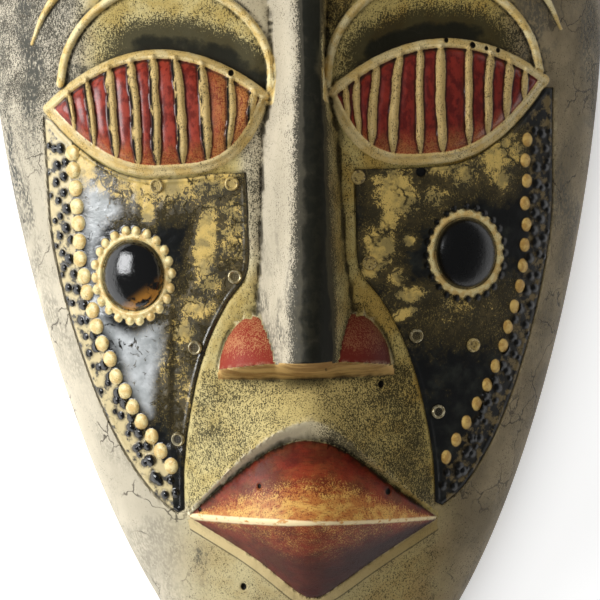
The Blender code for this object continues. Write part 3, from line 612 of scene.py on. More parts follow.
def hollowness(mesh, rounds):
    """How deep in a groove, above nothing, or how high on an edge, below it, each corner is."""
    places, normals = corners_of(mesh) / MILLIMETRE, corners_of(mesh, "normal")
    pairs = np.empty(len(mesh.edges) * 2, dtype=np.int32)
    mesh.edges.foreach_get("vertices", pairs)
    a, b = pairs.reshape(-1, 2).T
    long = np.linalg.norm(places[a] - places[b], axis=1)
    share = 1.0 / np.maximum(long, 0.05)
    bend = np.zeros(len(places))
    weight = np.zeros(len(places))
    for one, other in ((a, b), (b, a)):
        lift = np.einsum("ij,ij->i", places[other] - places[one], normals[one]) / np.maximum(long, 0.05)
        np.add.at(bend, one, lift * share)
        np.add.at(weight, one, share)
    bend = bend / np.maximum(weight, 1e-9)
    for _ in range(rounds):
        total, count = bend.copy(), np.ones(len(bend))
        for one, other in ((a, b), (b, a)):
            np.add.at(total, one, bend[other])
            np.add.at(count, one, 1.0)
        bend = total / count
    return bend


def paint(red, green, blue):
    """A paint's colour as the eye reads it, made ready for a shader."""
    share = [value / 255.0 for value in (red, green, blue)]
    return (*[s / 12.92 if s < 0.04045 else ((s + 0.055) / 1.055) ** 2.4 for s in share], 1.0)


def fill(node, sockets):
    """Gives a shader node's inputs plain values, or links them to values worked out by other nodes."""
    for name, value in sockets.items():
        if isinstance(value, Value):
            value.tree.links.new(value.socket, node.inputs[name])
        else:
            node.inputs[name].default_value = value


def feed(tree, maker, settings, sockets, output=0):
    """What a new shader node with these settings and inputs gives out."""
    made = tree.nodes.new(maker)
    for name, value in settings.items():
        setattr(made, name, value)
    fill(made, sockets)
    return Value(made.outputs[output])


class Value:
    """A number or colour worked out in a shader. Its numbers add, subtract and multiply like plain ones."""

    def __init__(self, socket):
        self.socket, self.tree = socket, socket.id_data

    def reckon(self, operation, first, second=0.0):
        return feed(self.tree, "ShaderNodeMath", {"operation": operation}, {0: first, 1: second})

    def __add__(self, other):
        return self.reckon("ADD", self, other)

    def __radd__(self, other):
        return self.reckon("ADD", other, self)

    def __sub__(self, other):
        return self.reckon("SUBTRACT", self, other)

    def __rsub__(self, other):
        return self.reckon("SUBTRACT", other, self)

    def __mul__(self, other):
        return self.reckon("MULTIPLY", self, other)

    def __truediv__(self, other):
        return self.reckon("DIVIDE", self, other)

    def __abs__(self):
        return self.reckon("ABSOLUTE", self)


def larger(first, second):
    return first.reckon("MAXIMUM", first, second)


def between(value, low, high):
    """Nothing below low, one above high."""
    sockets = {"Value": value, "From Min": low, "From Max": high}
    return feed(value.tree, "ShaderNodeMapRange", {"interpolation_type": "SMOOTHSTEP"}, sockets)


def over(share, under, upper):
    """One colour laid over another by a share."""
    tree = (share if isinstance(share, Value) else under).tree
    return feed(tree, "ShaderNodeMix", {"data_type": "RGBA"}, {0: share, 6: under, 7: upper}, 2)


def mottle(tree, size, detail=3.0, stretch=(1.0, 1.0, 1.0), seed=0.0, warp=0.0):
    """Cloudy spots about size millimetres across, stretched along an axis."""
    where = feed(tree, "ShaderNodeTexCoord", {}, {}, "Object")
    scale = tuple(1.0 / MILLIMETRE / size / s for s in stretch)
    sockets = {"Vector": where, "Location": (seed, seed * 0.7, 0.0), "Scale": scale}
    moved = feed(tree, "ShaderNodeMapping", {}, sockets)
    spots = {"Vector": moved, "Scale": 1.0, "Detail": detail, "Roughness": 0.6, "Distortion": warp}
    return feed(tree, "ShaderNodeTexNoise", {}, spots)


def patches(tree, under, upper, low, high, *spots, **more):
    """One paint over another in cloudy spots, with a border between the levels low and high."""
    return over(between(mottle(tree, *spots, **more), low, high), paint(*under), paint(*upper))


def read_mark(tree, name):
    return feed(tree, "ShaderNodeAttribute", {"attribute_name": name}, {}, "Fac")


def raised(height, strength, distance):
    """A fine relief that the light sees."""
    sockets = {"Height": height, "Strength": strength, "Distance": distance}
    return feed(height.tree, "ShaderNodeBump", {}, sockets)


def crazing(tree, bend, detail, shift, cells):
    """How far each place is from the lines of a bent net: lower is nearer."""
    where = feed(tree, "ShaderNodeTexCoord", {}, {}, "Object")
    bent = feed(tree, "ShaderNodeTexNoise", {}, {"Vector": where, "Scale": bend, "Detail": detail}, 1)
    sockets = {0: bent, 1: (shift, shift, shift), 2: where}
    moved = feed(tree, "ShaderNodeVectorMath", {"operation": "MULTIPLY_ADD"}, sockets)
    sockets = {"Vector": moved, "Scale": cells}
    return feed(tree, "ShaderNodeTexVoronoi", {"feature": "DISTANCE_TO_EDGE"}, sockets)


def new_finish(name):
    finish = bpy.data.materials.new(name)
    finish.use_nodes = True
    return finish, finish.node_tree, finish.node_tree.nodes["Principled BSDF"]


def new_effect(name, inputs, outputs):
    """A shader node group with named inputs and outputs."""
    group = bpy.data.node_groups.new(name, "ShaderNodeTree")
    for label, value in inputs.items():
        kind = "NodeSocketFloat" if isinstance(value, float) else "NodeSocketColor"
        group.interface.new_socket(label, in_out="INPUT", socket_type=kind).default_value = value
    for label in outputs:
        kind = "NodeSocketColor" if label == "Colour" else "NodeSocketFloat"
        group.interface.new_socket(label, in_out="OUTPUT", socket_type=kind)
    given = {socket.name: Value(socket) for socket in group.nodes.new("NodeGroupInput").outputs}
    return group, given, group.nodes.new("NodeGroupOutput")


def make_stain_effect():
    """Stain rubbed into the pores and off the high places, so it is left as fine specks."""
    inputs = {"Ground": (1.0, 1.0, 1.0, 1.0), "Stain": (0.0, 0.0, 0.0, 1.0), "Amount": 0.5}
    group, given, result = new_effect("rubbed stain", inputs, ("Colour", "Mask"))
    fine = mottle(group, 0.36, 2.0)
    broad = mottle(group, 8.0, 5.0, seed=3.0)
    strokes = mottle(group, 0.42, 3.0, stretch=(1.0, 2.6, 1.0), seed=9.0)
    level = fine * 0.55 + strokes * 0.45
    amount = given["Amount"] + (broad - 0.5) * 0.7
    specks = between(level - (0.7 - amount * 0.34), -0.07, 0.07)
    wash = between(amount, 0.5, 1.35) * 0.99
    mask = larger(specks * 0.9, wash)
    fill(result, {"Colour": over(mask, given["Ground"], given["Stain"]), "Mask": mask})
    return group


def make_edge_effect():
    """The edge of a hand-painted or hand-cut part: it wanders and isn't quite sharp."""
    inputs = {"Inside": 0.0, "Wander": 0.3, "Softness": 0.2}
    group, given, result = new_effect("hand-made edge", inputs, ("Mask",))
    wobble = mottle(group, 1.6, seed=5.0) - 0.5
    moved = given["Inside"] + wobble * (given["Wander"] * 2.0)
    fill(result, {"Mask": between(moved / given["Softness"], -1.0, 1.0)})
    return group


def make_crack_effect():
    """Fine dark lines of an old finish, which come and go over the surface."""
    group, given, result = new_effect("hairline cracks", {"Amount": 0.5}, ("Mask",))
    line = 1.0 - between(crazing(group, bend=120.0, detail=4.0, shift=0.012, cells=75.0), 0.006, 0.026)
    come = between(mottle(group, 16.0, 2.0, seed=7.0), 0.46, 0.6)
    fill(result, {"Mask": line * come * given["Amount"]})
    return group


stain_effect, edge_effect, crack_effect = make_stain_effect(), make_edge_effect(), make_crack_effect()


def rub(tree, ground, stain, amount):
    """A ground colour with stain rubbed into it."""
    sockets = {"Ground": ground, "Stain": stain, "Amount": amount}
    return feed(tree, "ShaderNodeGroup", {"node_tree": stain_effect}, sockets, "Colour")


def hand_edge(inside, wander, softness):
    """The share of a hand-made part, from how many millimetres each place is inside it."""
    sockets = {"Inside": inside, "Wander": wander, "Softness": softness}
    return feed(inside.tree, "ShaderNodeGroup", {"node_tree": edge_effect}, sockets, "Mask")


def make_wood_finish():
    """The carved face's stained and painted finish."""
    finish, tree, shader = new_finish("stained_and_painted_wood")
    mark = {name: read_mark(tree, name) for name in MARKS}

    # The ground colours. Each right-hand copy is darker: partly a darker stain, partly painted shade on the
    # side turned from the light.
    cream = patches(tree, (204, 194, 172), (182, 173, 152), 0.35, 0.65, 30.0, stretch=(1, 2, 1))
    brown = patches(tree, (146, 131, 102), (118, 105, 80), 0.35, 0.65, 18.0, 4.0, seed=2.0)
    sides = over(mark["right_stain_and_shade"], cream, brown)
    yellow = patches(tree, (198, 183, 128), (178, 156, 92), 0.4, 0.62, 14.0, 4.0, seed=4.0)
    olive = patches(tree, (172, 152, 88), (158, 128, 60), 0.4, 0.62, 14.0, 4.0, seed=4.0)
    yellow = over(mark["right_stain_and_shade"], yellow, olive)
    ground = over(mark["yellowness"], sides, yellow)
    ground = over(mark["golden"], ground, over(mark["right_stain_and_shade"], paint(206, 188, 126), paint(164, 142, 80)))
    # Pale: the cream borders of the wings, and painted light on the left part of the slope under the muzzle.
    ground = over(mark["pale"], ground, over(mark["right_stain_and_shade"], paint(240, 230, 196), paint(176, 158, 116)))
    colour = rub(tree, ground, paint(24, 25, 19), mark["staining"])
    grit = Value(colour.socket.node.outputs["Mask"])

    smudge = mottle(tree, 20.0, 5.0, stretch=(1, 1.6, 1), seed=6.0, warp=0.8)
    smudge = between(smudge, 0.44, 0.64) * mark["smudging"]
    grime = between(mottle(tree, 0.9, 5.0, stretch=(1, 1.6, 1), seed=23.0), 0.38, 0.56)
    colour = over(smudge * grime * 0.85, colour, paint(74, 73, 66))
    cracks = feed(tree, "ShaderNodeGroup", {"node_tree": crack_effect}, {"Amount": mark["cracking"]}, "Mask")
    colour = over(cracks * 0.8, colour, paint(60, 54, 44))

    pale = patches(tree, (226, 210, 160), (206, 176, 108), 0.4, 0.62, 5.0, seed=8.0)
    specked = rub(tree, pale, paint(40, 34, 20), 0.26)
    colour = over(hand_edge(mark["arc"], 0.25, 0.25), colour, specked)

    golden = rub(tree, paint(198, 170, 110), paint(30, 26, 16), 0.36)
    red = patches(tree, (150, 54, 38), (106, 30, 20), 0.42, 0.6, 2.2, 4.0, stretch=(1, 1.5, 1), seed=11.0)
    maroon = patches(tree, (122, 36, 26), (84, 20, 16), 0.42, 0.6, 2.2, 4.0, stretch=(1, 1.5, 1), seed=12.0)
    # The right eye's maroon is partly painted shade, as the red darkens towards the right.
    red = over(mark["right_stain_and_shade"] * 0.9, red, maroon)
    orange = rub(tree, paint(200, 136, 76), paint(126, 44, 26), 0.55)
    eye = hand_edge(mark["eye"], 0.2, 0.2)
    colour = over(eye, colour, over(mark["orangeness"], red, orange))
    rib_shade = between(mark["rib_turn"] * -1.0, 0.05, 0.65) * mark["rib_dark"]
    dark_side = rib_shade * between(mottle(tree, 2.5, 4.0, stretch=(1, 2.0, 1), seed=13.0), 0.36, 0.5)
    ditch = hand_edge(mark["rib"] + 0.55, 0.3, 0.3) * eye
    colour = over(ditch * 0.75, colour, paint(34, 16, 12))
    rib = hand_edge(mark["rib"], 0.28, 0.16)
    colour = over(rib * eye, colour, over(dark_side, golden, paint(13, 13, 10)))
    colour = over(hand_edge(mark["rim"], 0.2, 0.16), colour, over(0.5, specked, golden))

    # The right wing's darker red and tan are partly painted shade.
    wing_red = over(mark["right_stain_and_shade"], paint(138, 36, 30), paint(54, 14, 12))
    wing_pale = over(mark["right_stain_and_shade"], paint(182, 124, 84), paint(100, 58, 38))
    colour = over(hand_edge(mark["wing"], 0.3, 0.2), colour, rub(tree, wing_pale, wing_red, mark["wing_red"]))
    tan = patches(tree, (206, 168, 104), (158, 120, 68), 0.4, 0.6, 6.0, 4.0, stretch=(3, 1, 1), seed=14.0)
    colour = over(hand_edge(mark["base"], 0.3, 0.3), colour, tan)

    # The band's right half is darker: partly painted shade.
    band_tan = over(mark["right_stain_and_shade"], paint(206, 184, 134), paint(150, 128, 78))
    colour = over(hand_edge(mark["band"], 0.25, 0.25) * 0.8, colour, band_tan)
    edge_line = between(abs(mark["band"] + 0.2), 0.32, 0.12)
    colour = over(edge_line * 0.65, colour, paint(48, 40, 26))
    lip = hand_edge(mark["lip"], 0.25, 0.15)
    lip_red = patches(tree, (136, 42, 26), (94, 26, 18), 0.38, 0.62, 5.0, 5.0, stretch=(1.6, 1, 1), seed=15.0)
    lip_gold = patches(tree, (212, 164, 86), (182, 116, 58), 0.4, 0.6, 3.0, 5.0, stretch=(2, 1, 1), seed=16.0)
    upper = rub(tree, lip_gold, lip_red, mark["lip_red"])
    hatch = between(mottle(tree, 0.42, stretch=(9.0, 1, 1), seed=22.0), 0.54, 0.64)
    upper = over(hatch * 0.5, upper, paint(84, 36, 20))
    cream = patches(tree, (238, 216, 168), (204, 150, 88), 0.56, 0.68, 1.4, stretch=(2.5, 1, 1), seed=17.0)
    mouth = over(hand_edge(mark["crest"], 0.22, 0.3), upper, cream)
    # The lips, with painted shade in near black over the lower lip and under the step above the upper one.
    colour = over(lip, colour, over(mark["lip_painted_shade"] * 0.88, mouth, paint(46, 11, 7)))

    # Painted shade: the grooves and creases of the carving are darkened towards near black.
    colour = over(between(mark["hollowness"], 0.025, 0.12) * 0.85, colour, paint(30, 26, 18))
    worn = between(mottle(tree, 3.0, 4.0, seed=18.0), 0.4, 0.6)
    worn = between(mark["hollowness"] * -1.0, 0.04, 0.15) * worn
    colour = over(worn * (0.34 - grit * 0.32), colour, paint(228, 212, 168))
    colour = over(hand_edge(mark["pit"], 0.15, 0.15), colour, paint(16, 13, 9))
    bare = patches(tree, (150, 118, 78), (112, 84, 52), 0.4, 0.62, 4.0, 5.0, stretch=(1, 8, 1), seed=19.0)
    worn_off = (mottle(tree, 3.0, 5.0, seed=24.0) - 0.5) * 0.9
    colour = over(between(mark["front"] + worn_off, 0.45, 0.65), bare, colour)

    red_parts = larger(eye * (1.0 - rib), lip * 0.2)
    rough = 0.62 - red_parts * 0.15 + (grit - 0.5) * 0.26 + dark_side * rib * 0.3
    grain = mottle(tree, 1.2, 4.0, stretch=(1, 9, 1), seed=20.0)
    fibre = mottle(tree, 0.45, seed=21.0)
    relief = grain * 0.5 + fibre * 0.35 - grit * 0.25 - cracks * 1.2
    fill(shader, {"Base Color": colour, "Coat Weight": red_parts * 0.55, "Coat Roughness": 0.25,
                  "Specular IOR Level": 0.14, "Roughness": rough, "Normal": raised(relief, 0.55, 0.00022)})
    return finish


MARKS = ("front", "eye", "rib", "rib_turn", "rim", "arc", "wing", "base", "lip", "pit", "hollowness",
         "right_stain_and_shade", "yellowness", "staining", "smudging", "cracking", "orangeness", "rib_dark",
         "wing_red", "lip_red", "lip_painted_shade", "crest", "band", "golden", "pale")


def mark_face(piece):
    """Writes on the skin where each part of the carving and its paint lies."""
    mesh = piece.data
    x, y, _ = corners_of(mesh).T / MILLIMETRE
    flat = np.empty(len(mesh.vertices))
    mesh.attributes["front"].data.foreach_get("value", flat)
    front = flat > 0.5
    _, marks = carve(x, y)
    outer = np.interp(-y, -OUTER_LINE[:, 1], OUTER_LINE[:, 0])
    # Darker towards the viewer's right: partly a darker stain, partly painted shade on the side turned from
    # the light.
    right_stain_and_shade = soft(x, -30.0, 45.0)
    inside = soft(np.abs(x), np.where(y > 20.0, 70.0, outer + 2.0), np.where(y > 20.0, 58.0, outer - 6.0))
    lower = soft(y, -95.0, -112.0)
    inside_seen = inside * soft(y, 92.0, 60.0)
    yellowness = np.where(y > -100.0, inside_seen, 0.9 * soft(np.abs(x), 50.0, 26.0)) * (1.0 - 0.2 * lower)
    turn = marks["turn"]
    nose = marks["nose"] > 0.0
    yellowness = np.where(nose, soft(turn, -0.1, 0.9), yellowness)
    beside_nose = soft(x, -20.0, -16.0) * (x < 0) * soft(y, -40.0, -20.0) * soft(y, 26.0, 8.0)
    above_nose = soft(x, -24.0, -18.0) * (x < 0) * soft(y, 24.0, 36.0)
    above_nose = above_nose * soft(y, 110.0, 60.0) * (marks["lid"] < 0)
    yellowness = np.where(~nose, yellowness * (1.0 - 0.75 * np.maximum(beside_nose, above_nose)), yellowness)
    yellowness = np.where(marks["slope"] > 0.0, 0.15 + 0.8 * right_stain_and_shade, yellowness)
    # More stain towards the right: part of the painted shade there.
    staining = 0.34 + 0.10 * right_stain_and_shade
    lid_black = np.where(x < 0, soft(x, -68.0, -42.0), soft(x, 76.0, 50.0) * soft(x, 8.0, 24.0))
    lid_black = soft(marks["lid"], 15.0, 3.5) * lid_black
    staining = np.where(marks["lid"] > 0.0, 0.42 + 0.95 * lid_black, staining)
    rubbed_off = 0.22 * np.exp(-((x + 2.0) / 15.0) ** 2)
    staining = np.where(marks["field"] > 0.0, 0.60 + 0.12 * right_stain_and_shade - rubbed_off, staining)
    slope_stain = 0.04 + 0.74 * soft(x, -4.0, 10.0) * soft(x, 44.0, 10.0)
    staining = np.where(marks["slope"] > 0.0, slope_stain, staining)
    ridge = soft(turn, -0.52, 0.0) * soft(turn, 0.62, 0.42)
    # The nose's ridge takes dark stain; the extra darkening of its right flank is painted shade on the flank
    # turned from the light.
    staining = np.where(nose, 0.26 + 1.14 * ridge + 0.30 * soft(turn, 0.2, 0.8), staining)
    forehead = soft(y, 50.0, 60.0) * soft(y, 96.0, 66.0) * soft(np.abs(x - 3.0), 34.0, 12.0)
    staining = np.maximum(staining, 1.15 * forehead * soft(x, -6.0, 8.0))
    open_wood = ~nose & (marks["lid"] < 0)
    # A darker strip beside the nose's right foot, up into the brow.
    between_eye_and_nose = soft(np.abs(x - 13.0), 7.0, 3.0) * soft(y, 20.0, 34.0) * (marks["lid"] < 0)
    staining = np.maximum(staining, 0.72 * between_eye_and_nose)
    staining = np.where(open_wood & (x < 0), np.maximum(staining, 0.55 * beside_nose), staining)
    outskirts = open_wood & (np.abs(x) < 90) & (inside_seen < 0.5)
    staining = np.where(outskirts, 0.16 + 0.12 * right_stain_and_shade, staining)
    temple = soft(y, -20.0, 30.0) * soft(x, -58.0, -66.0) * (1.0 - 0.7 * soft(y, 62.0, 100.0))
    staining = np.maximum(staining, 0.66 * temple)
    staining = np.where(~nose, staining * (1.0 - 0.40 * above_nose), staining)
    nose_smudge = nose * soft(y, -8.0, -34.0) * soft(turn, 0.1, -0.3)
    chin_smudge = soft(np.hypot(x + 33.5, (y + 119.0) * 0.3), 4.0, 1.0)
    side_smudge = (1.0 - inside) * (0.35 + 0.45 * soft(y, -60.0, 0.0))
    field_gold = 0.35 + 0.55 * soft(y, -88.0, -70.0) * soft(np.abs(x), 30.0, 16.0)
    roof = marks["roof"]
    # Painted shade on the mouth: over the lower lip, which faces down, and along the upper lip's top under
    # the muzzle's step, deeper towards the right.
    low_shade = soft(-roof, 0.05, 0.75) * (0.62 + 0.55 * soft(x, -25.0, 25.0))
    smudging = side_smudge + 0.05 + 1.2 * temple + 0.8 * nose_smudge + 1.3 * chin_smudge
    orangeness = soft(marks["eye_up"], 0.30, 0.02) * 0.60 + (x < 0) * soft(x, -32.0, -17.0)
    values = {
        "right_stain_and_shade": right_stain_and_shade, "yellowness": yellowness, "staining": staining,
        "smudging": np.clip(smudging, 0.0, 1.4), "orangeness": np.clip(orangeness, 0.0, 1.0),
        "golden": np.where(marks["field"] > 0.0, field_gold, 0.0),
        "cracking": np.clip(1.1 - inside, 0.15, 1.0),
        # Painted light lifts the left part of the slope under the muzzle; the wing borders' pale is their
        # cream paint.
        "pale": np.maximum(0.75 * marks["wing_border"], soft(marks["slope"], 0.0, 0.6) * soft(x, 12.0, -6.0)),
        "rib_dark": np.where(x < 0.0, 1.0, 0.22), "wing_red": 0.62 + 0.50 * soft(y, -52.0, -60.0),
        "lip_red": np.where(roof > 0.0, 0.34 + 0.90 * soft(roof, 0.22, 0.82),
                            0.74 + 0.46 * soft(roof, -0.25, -0.85)),
        "lip_painted_shade": low_shade + 0.62 * soft(roof, 0.45, 1.0),
        "crest": 1.0 - 0.45 * soft(x, -12.0, 6.0) - np.abs(y - crest_height(x)),
        "hollowness": hollowness(mesh, 3),
    }
    for name in MARKS[1:]:
        elsewhere = 0.0 if name in ("right_stain_and_shade", "hollowness") else OUTSIDE
        write_mark(mesh, name, np.where(front, values[name] if name in values else marks[name], elsewhere))


skin, finish = make_face_skin(), make_wood_finish()
mark_face(finish_piece("wooden_face", skin, finish, "carved_mask", sharp=55.0))

# The two cheek plates. Each is a thin sheet of soft metal, pressed from behind over a dome, a ring
# and rows of beads and discs, painted black, rubbed with yellow paint and let into the wood.
DOMES = {-1: (-51.8, -31.0), 1: (49.6, -27.1)}
DISC_LINE = ((69.4, 7.2), (68.8, -11.0), (68.0, -28.0), (64.4, -44.0), (58.4, -61.0), (50.0, -77.0),
             (42.0, -89.5))
DISC_COUNT, BOSS_COUNT = {-1: 20, 1: 17}, {-1: 22, 1: 24}
SHEET_DROP, SHEET = 0.3, 0.7
FRONT_GRID, BACK_GRID = (184, 372), (46, 93)
NAILS = {-1: ((20.7, -4.2), (43.4, -4.0), (20.6, -32.2), (33.4, -53.3), (39.5, -81.2)),
         1: ((17.3, -3.4), (20.0, -29.2), (33.7, -51.6), (39.9, -75.0), (51.2, -55.0))}
RUBBED = {-1: (0.9, 0.75, 0.15, 0.1, 0.0), 1: (0.85, 0.9, 0.1, 0.0, 0.8)}  # the nails' share of yellow paint
EMPTY_HOLE = (36.4, -2.2)
PAINT_STROKES = {  # where yellow paint was rubbed on: middle, half lengths, turn and strength
    -1: ((-41.0, -2.6, 25.0, 8.0, 0, 0.95), (-28.9, -21.0, 4.0, 14.0, -8, 1.15),
         (-21.2, -18.0, 5.0, 17.0, 0, 0.50), (-32.6, -41.5, 8.0, 4.2, 0, 0.85),
         (-37.0, -48.0, 4.6, 6.0, 0, 0.70), (-46.3, -11.7, 2.4, 4.2, 0, 0.95),
         (-61.4, -4.0, 4.0, 4.0, 0, 0.9), (-66.5, 4.0, 6.0, 9.0, 0, 1.1), (-28.0, -34.0, 5.0, 4.0, 0, 0.5),
         (-36.5, -66.0, 3.5, 12.0, 8, 0.45), (-44.0, -60.0, 4.0, 6.0, 0, 0.35)),
    1: ((29.0, -8.6, 8.0, 8.0, 0, 1.15), (26.5, -16.5, 3.6, 5.0, 0, 1.0), (23.4, -24.7, 5.4, 7.4, 0, 1.1),
        (20.7, -31.0, 4.0, 4.0, 0, 0.95), (32.4, -22.8, 2.6, 2.2, 0, 1.2), (28.1, -33.8, 3.2, 3.2, 0, 0.9),
        (32.4, -39.1, 6.4, 2.8, 12, 1.1), (30.1, -45.0, 5.2, 2.0, 18, 0.9), (42.0, 0.0, 7.0, 4.2, 0, 1.0),
        (61.0, 3.0, 8.0, 6.5, 20, 1.1), (61.0, -4.5, 4.2, 4.2, 0, 0.85), (50.0, -2.5, 5.5, 5.0, 0, 0.75),
        (47.2, -43.8, 8.0, 5.0, 0, 0.35), (40.0, -9.0, 4.0, 5.0, 0, 0.45)),
}


# Where a painted sheen lies on the left plate: the light's reflection on the sheet, painted on as smooth pale
# grey.
SHEEN_OUTLINE = ((-66.8, 0.0), (-58.5, -4.5), (-54.0, -11.5), (-60.5, -18.0), (-63.3, -31.0), (-60.0, -43.5),
        (-52.0, -47.0), (-43.4, -44.5), (-42.9, -54.4), (-45.0, -63.5), (-46.6, -75.0), (-50.3, -73.2),
        (-56.0, -62.0), (-59.8, -52.0), (-65.2, -40.0), (-67.0, -17.0))


def border_beads(side):
    """The loose rows of small pressed beads outside the discs: each one's place and radius."""
    order = np.random.default_rng(11 + side)
    beads = []
    for inset, count, size in ((3.1, 23, 1.45), (5.7, 21, 1.3), (7.6, 15, 0.85)):
        row = [(px + inset, py + 2.0) for px, py in DISC_LINE[:-1]]
        for px, py in smooth_line([*row, (45.0 + inset * 0.5, -93.0)], count):
            jitter = order.uniform(-0.8, 0.8, 3)
            swelling = 1.0 + (0.3 if side < 0 and inset < 4.0 else 0.0) * float(soft(py, -40.0, -66.0))
            beads.append((side * (px + jitter[0]), py + jitter[1], size * (1.0 + 0.2 * jitter[2]) * swelling))
    for px, py in ((46.0, -94.5), (42.5, -94.0), (41.2, -98.0), (44.5, -98.5), (50.5, -88.5), (53.0, -84.0)):
        beads.append((side * px, py, 1.3))
    return beads


def press_plate(side, x, y):
    """A plate's relief over the bare face, and the marks that its paint follows."""
    relief = np.zeros(x.shape)
    cx, cy = DOMES[side]
    dx, dy = (x - cx) / 0.88, y - cy
    away = np.hypot(dx, dy)
    crumple = np.abs(unevenness(x, y, 9.0, 4.0 + side)) + 0.5 * np.abs(unevenness(x, y, 4.0, 7.0 + side))
    calm = soft(away, 12.0, 19.0)
    if side < 0:
        calm = calm * (0.3 + 0.7 * soft(x, -62.0, -48.0))
    relief = relief + (0.55 if side < 0 else 0.35) * (crumple - 0.3) * calm
    if side < 0:
        fold = x - (-40.5 + 0.06 * (y + 50.0))
        relief = relief + 0.9 * soft(fold, 1.4, -1.0) * soft(y, -36.0, -44.0) * soft(y, -84.0, -70.0)
    ring = np.exp(-((away - 11.8) / 1.0) ** 2) * 0.9
    dome = np.where(away < 10.6, 5.6 * np.sqrt(np.clip(1.0 - (away / 10.6) ** 2, 0.0, 1.0)), 0.0)
    relief = np.where(away < 10.6, dome, relief + ring - 0.4 * np.exp(-((away - 10.7) / 0.4) ** 2))
    boss_in, disc_in, bead_in = (np.full(x.shape, OUTSIDE) for _ in range(3))
    order = np.random.default_rng(5 + side)
    boss = 1.5 if side < 0 else 1.05
    for number in range(BOSS_COUNT[side]):
        spot = 2 * math.pi * number / BOSS_COUNT[side] + order.uniform(-0.03, 0.03)
        reach = (13.6 if side < 0 else 13.9) + order.uniform(-0.25, 0.25)
        off = np.hypot(dx - reach * math.cos(spot), dy - reach * math.sin(spot))
        relief = np.maximum(relief, relief * 0.3 + bead(off, boss, 1.3))
        boss_in = np.maximum(boss_in, boss - off)
    row = smooth_line([(side * px, py) for px, py in DISC_LINE], DISC_COUNT[side])
    wide = 2.2 if side < 0 else 1.6
    for px, py in row:
        px, py = px + order.uniform(-0.35, 0.35), py + order.uniform(-0.3, 0.3)
        off = np.hypot((x - px) / wide, (y - py) / (2.45 if side < 0 else 2.1))
        relief = relief + 1.25 * np.clip(1.0 - off ** 3, 0.0, 1.0)
        disc_in = np.maximum(disc_in, (1.0 - off) * wide)
    for px, py, radius in border_beads(side):
        off = np.hypot((x - px) / 0.9, y - py)
        lump = bead(off, radius, radius * 0.95)
        relief = np.where(disc_in < -0.2, np.maximum(relief, lump + relief * 0.2), relief)
        bead_in = np.maximum(bead_in, radius - off)
    nail_off = np.full(x.shape, 9.0)
    for px, py in NAILS[side]:
        nail_off = np.minimum(nail_off, np.hypot(x - side * px, y - py))
    relief = relief * soft(nail_off, 1.2, 3.4)
    painted = np.full(x.shape, -1.0)
    for px, py, rx, ry, angle, strength in PAINT_STROKES[side]:
        c, s = math.cos(math.radians(angle)), math.sin(math.radians(angle))
        u, v = (x - px) * c + (y - py) * s, (y - py) * c - (x - px) * s
        painted = np.maximum(painted, strength * (1.15 - np.hypot(u / rx, v / ry)))
    # The painted sheen's outline, on the left plate only.
    painted_sheen = np.full(x.shape, OUTSIDE)
    if side < 0:
        painted_sheen = depth_in(x, y, smooth_line([*SHEEN_OUTLINE, SHEEN_OUTLINE[0]], 80))
    edge = np.abs(depth_in(x, y, LINES["plate"][side]))
    hole = np.hypot(x - EMPTY_HOLE[0], y - EMPTY_HOLE[1]) if side > 0 else np.full(x.shape, 9.0)
    relief = relief - 1.0 * (1.0 - soft(hole, 1.1, 1.8))
    relief = relief + 0.25 * np.exp(-((edge - 0.9) / 0.5) ** 2) - 0.15 * (1.0 - soft(edge, 0.0, 0.5))
    row_reach = off_line(x, y, row)
    outside = np.where(np.abs(x) > np.interp(-y, -row[:, 1], np.abs(row[:, 0])), row_reach, -row_reach)
    dome_low = soft(dy - 0.6 * dx, -5.0, -11.5) if side < 0 else 0.0 * x
    marks = {"dome": 10.5 - away, "dome_low": dome_low, "ring": 1.5 - np.abs(away - 11.9), "boss": boss_in,
             "disc": disc_in, "bead": bead_in, "painted": painted, "painted_sheen": painted_sheen, "edge": edge,
             "border": outside, "hole": 1.5 - hole}
    return relief, marks


PLATE_MARKS = ("dome", "dome_low", "ring", "boss", "disc", "bead", "painted", "painted_sheen", "edge", "border",
               "hole", "lows")
PLATE_LOOKS = {  # how the paint differs between the left plate, worn and polished, and the right one
    -1: {"border paint": ((202, 184, 136), (40, 38, 32), 0.50, 0.66), "border share": 0.95,
         "ring wander": 0.5, "gloss": 0.13, "dome polish": 0.6, "shine": 0.65},
    1: {"border paint": ((122, 104, 66), (14, 14, 12), 0.40, 0.54), "border share": 0.75,
        "ring wander": 0.9, "gloss": 0.30, "dome polish": 0.2, "shine": 0.4},
}


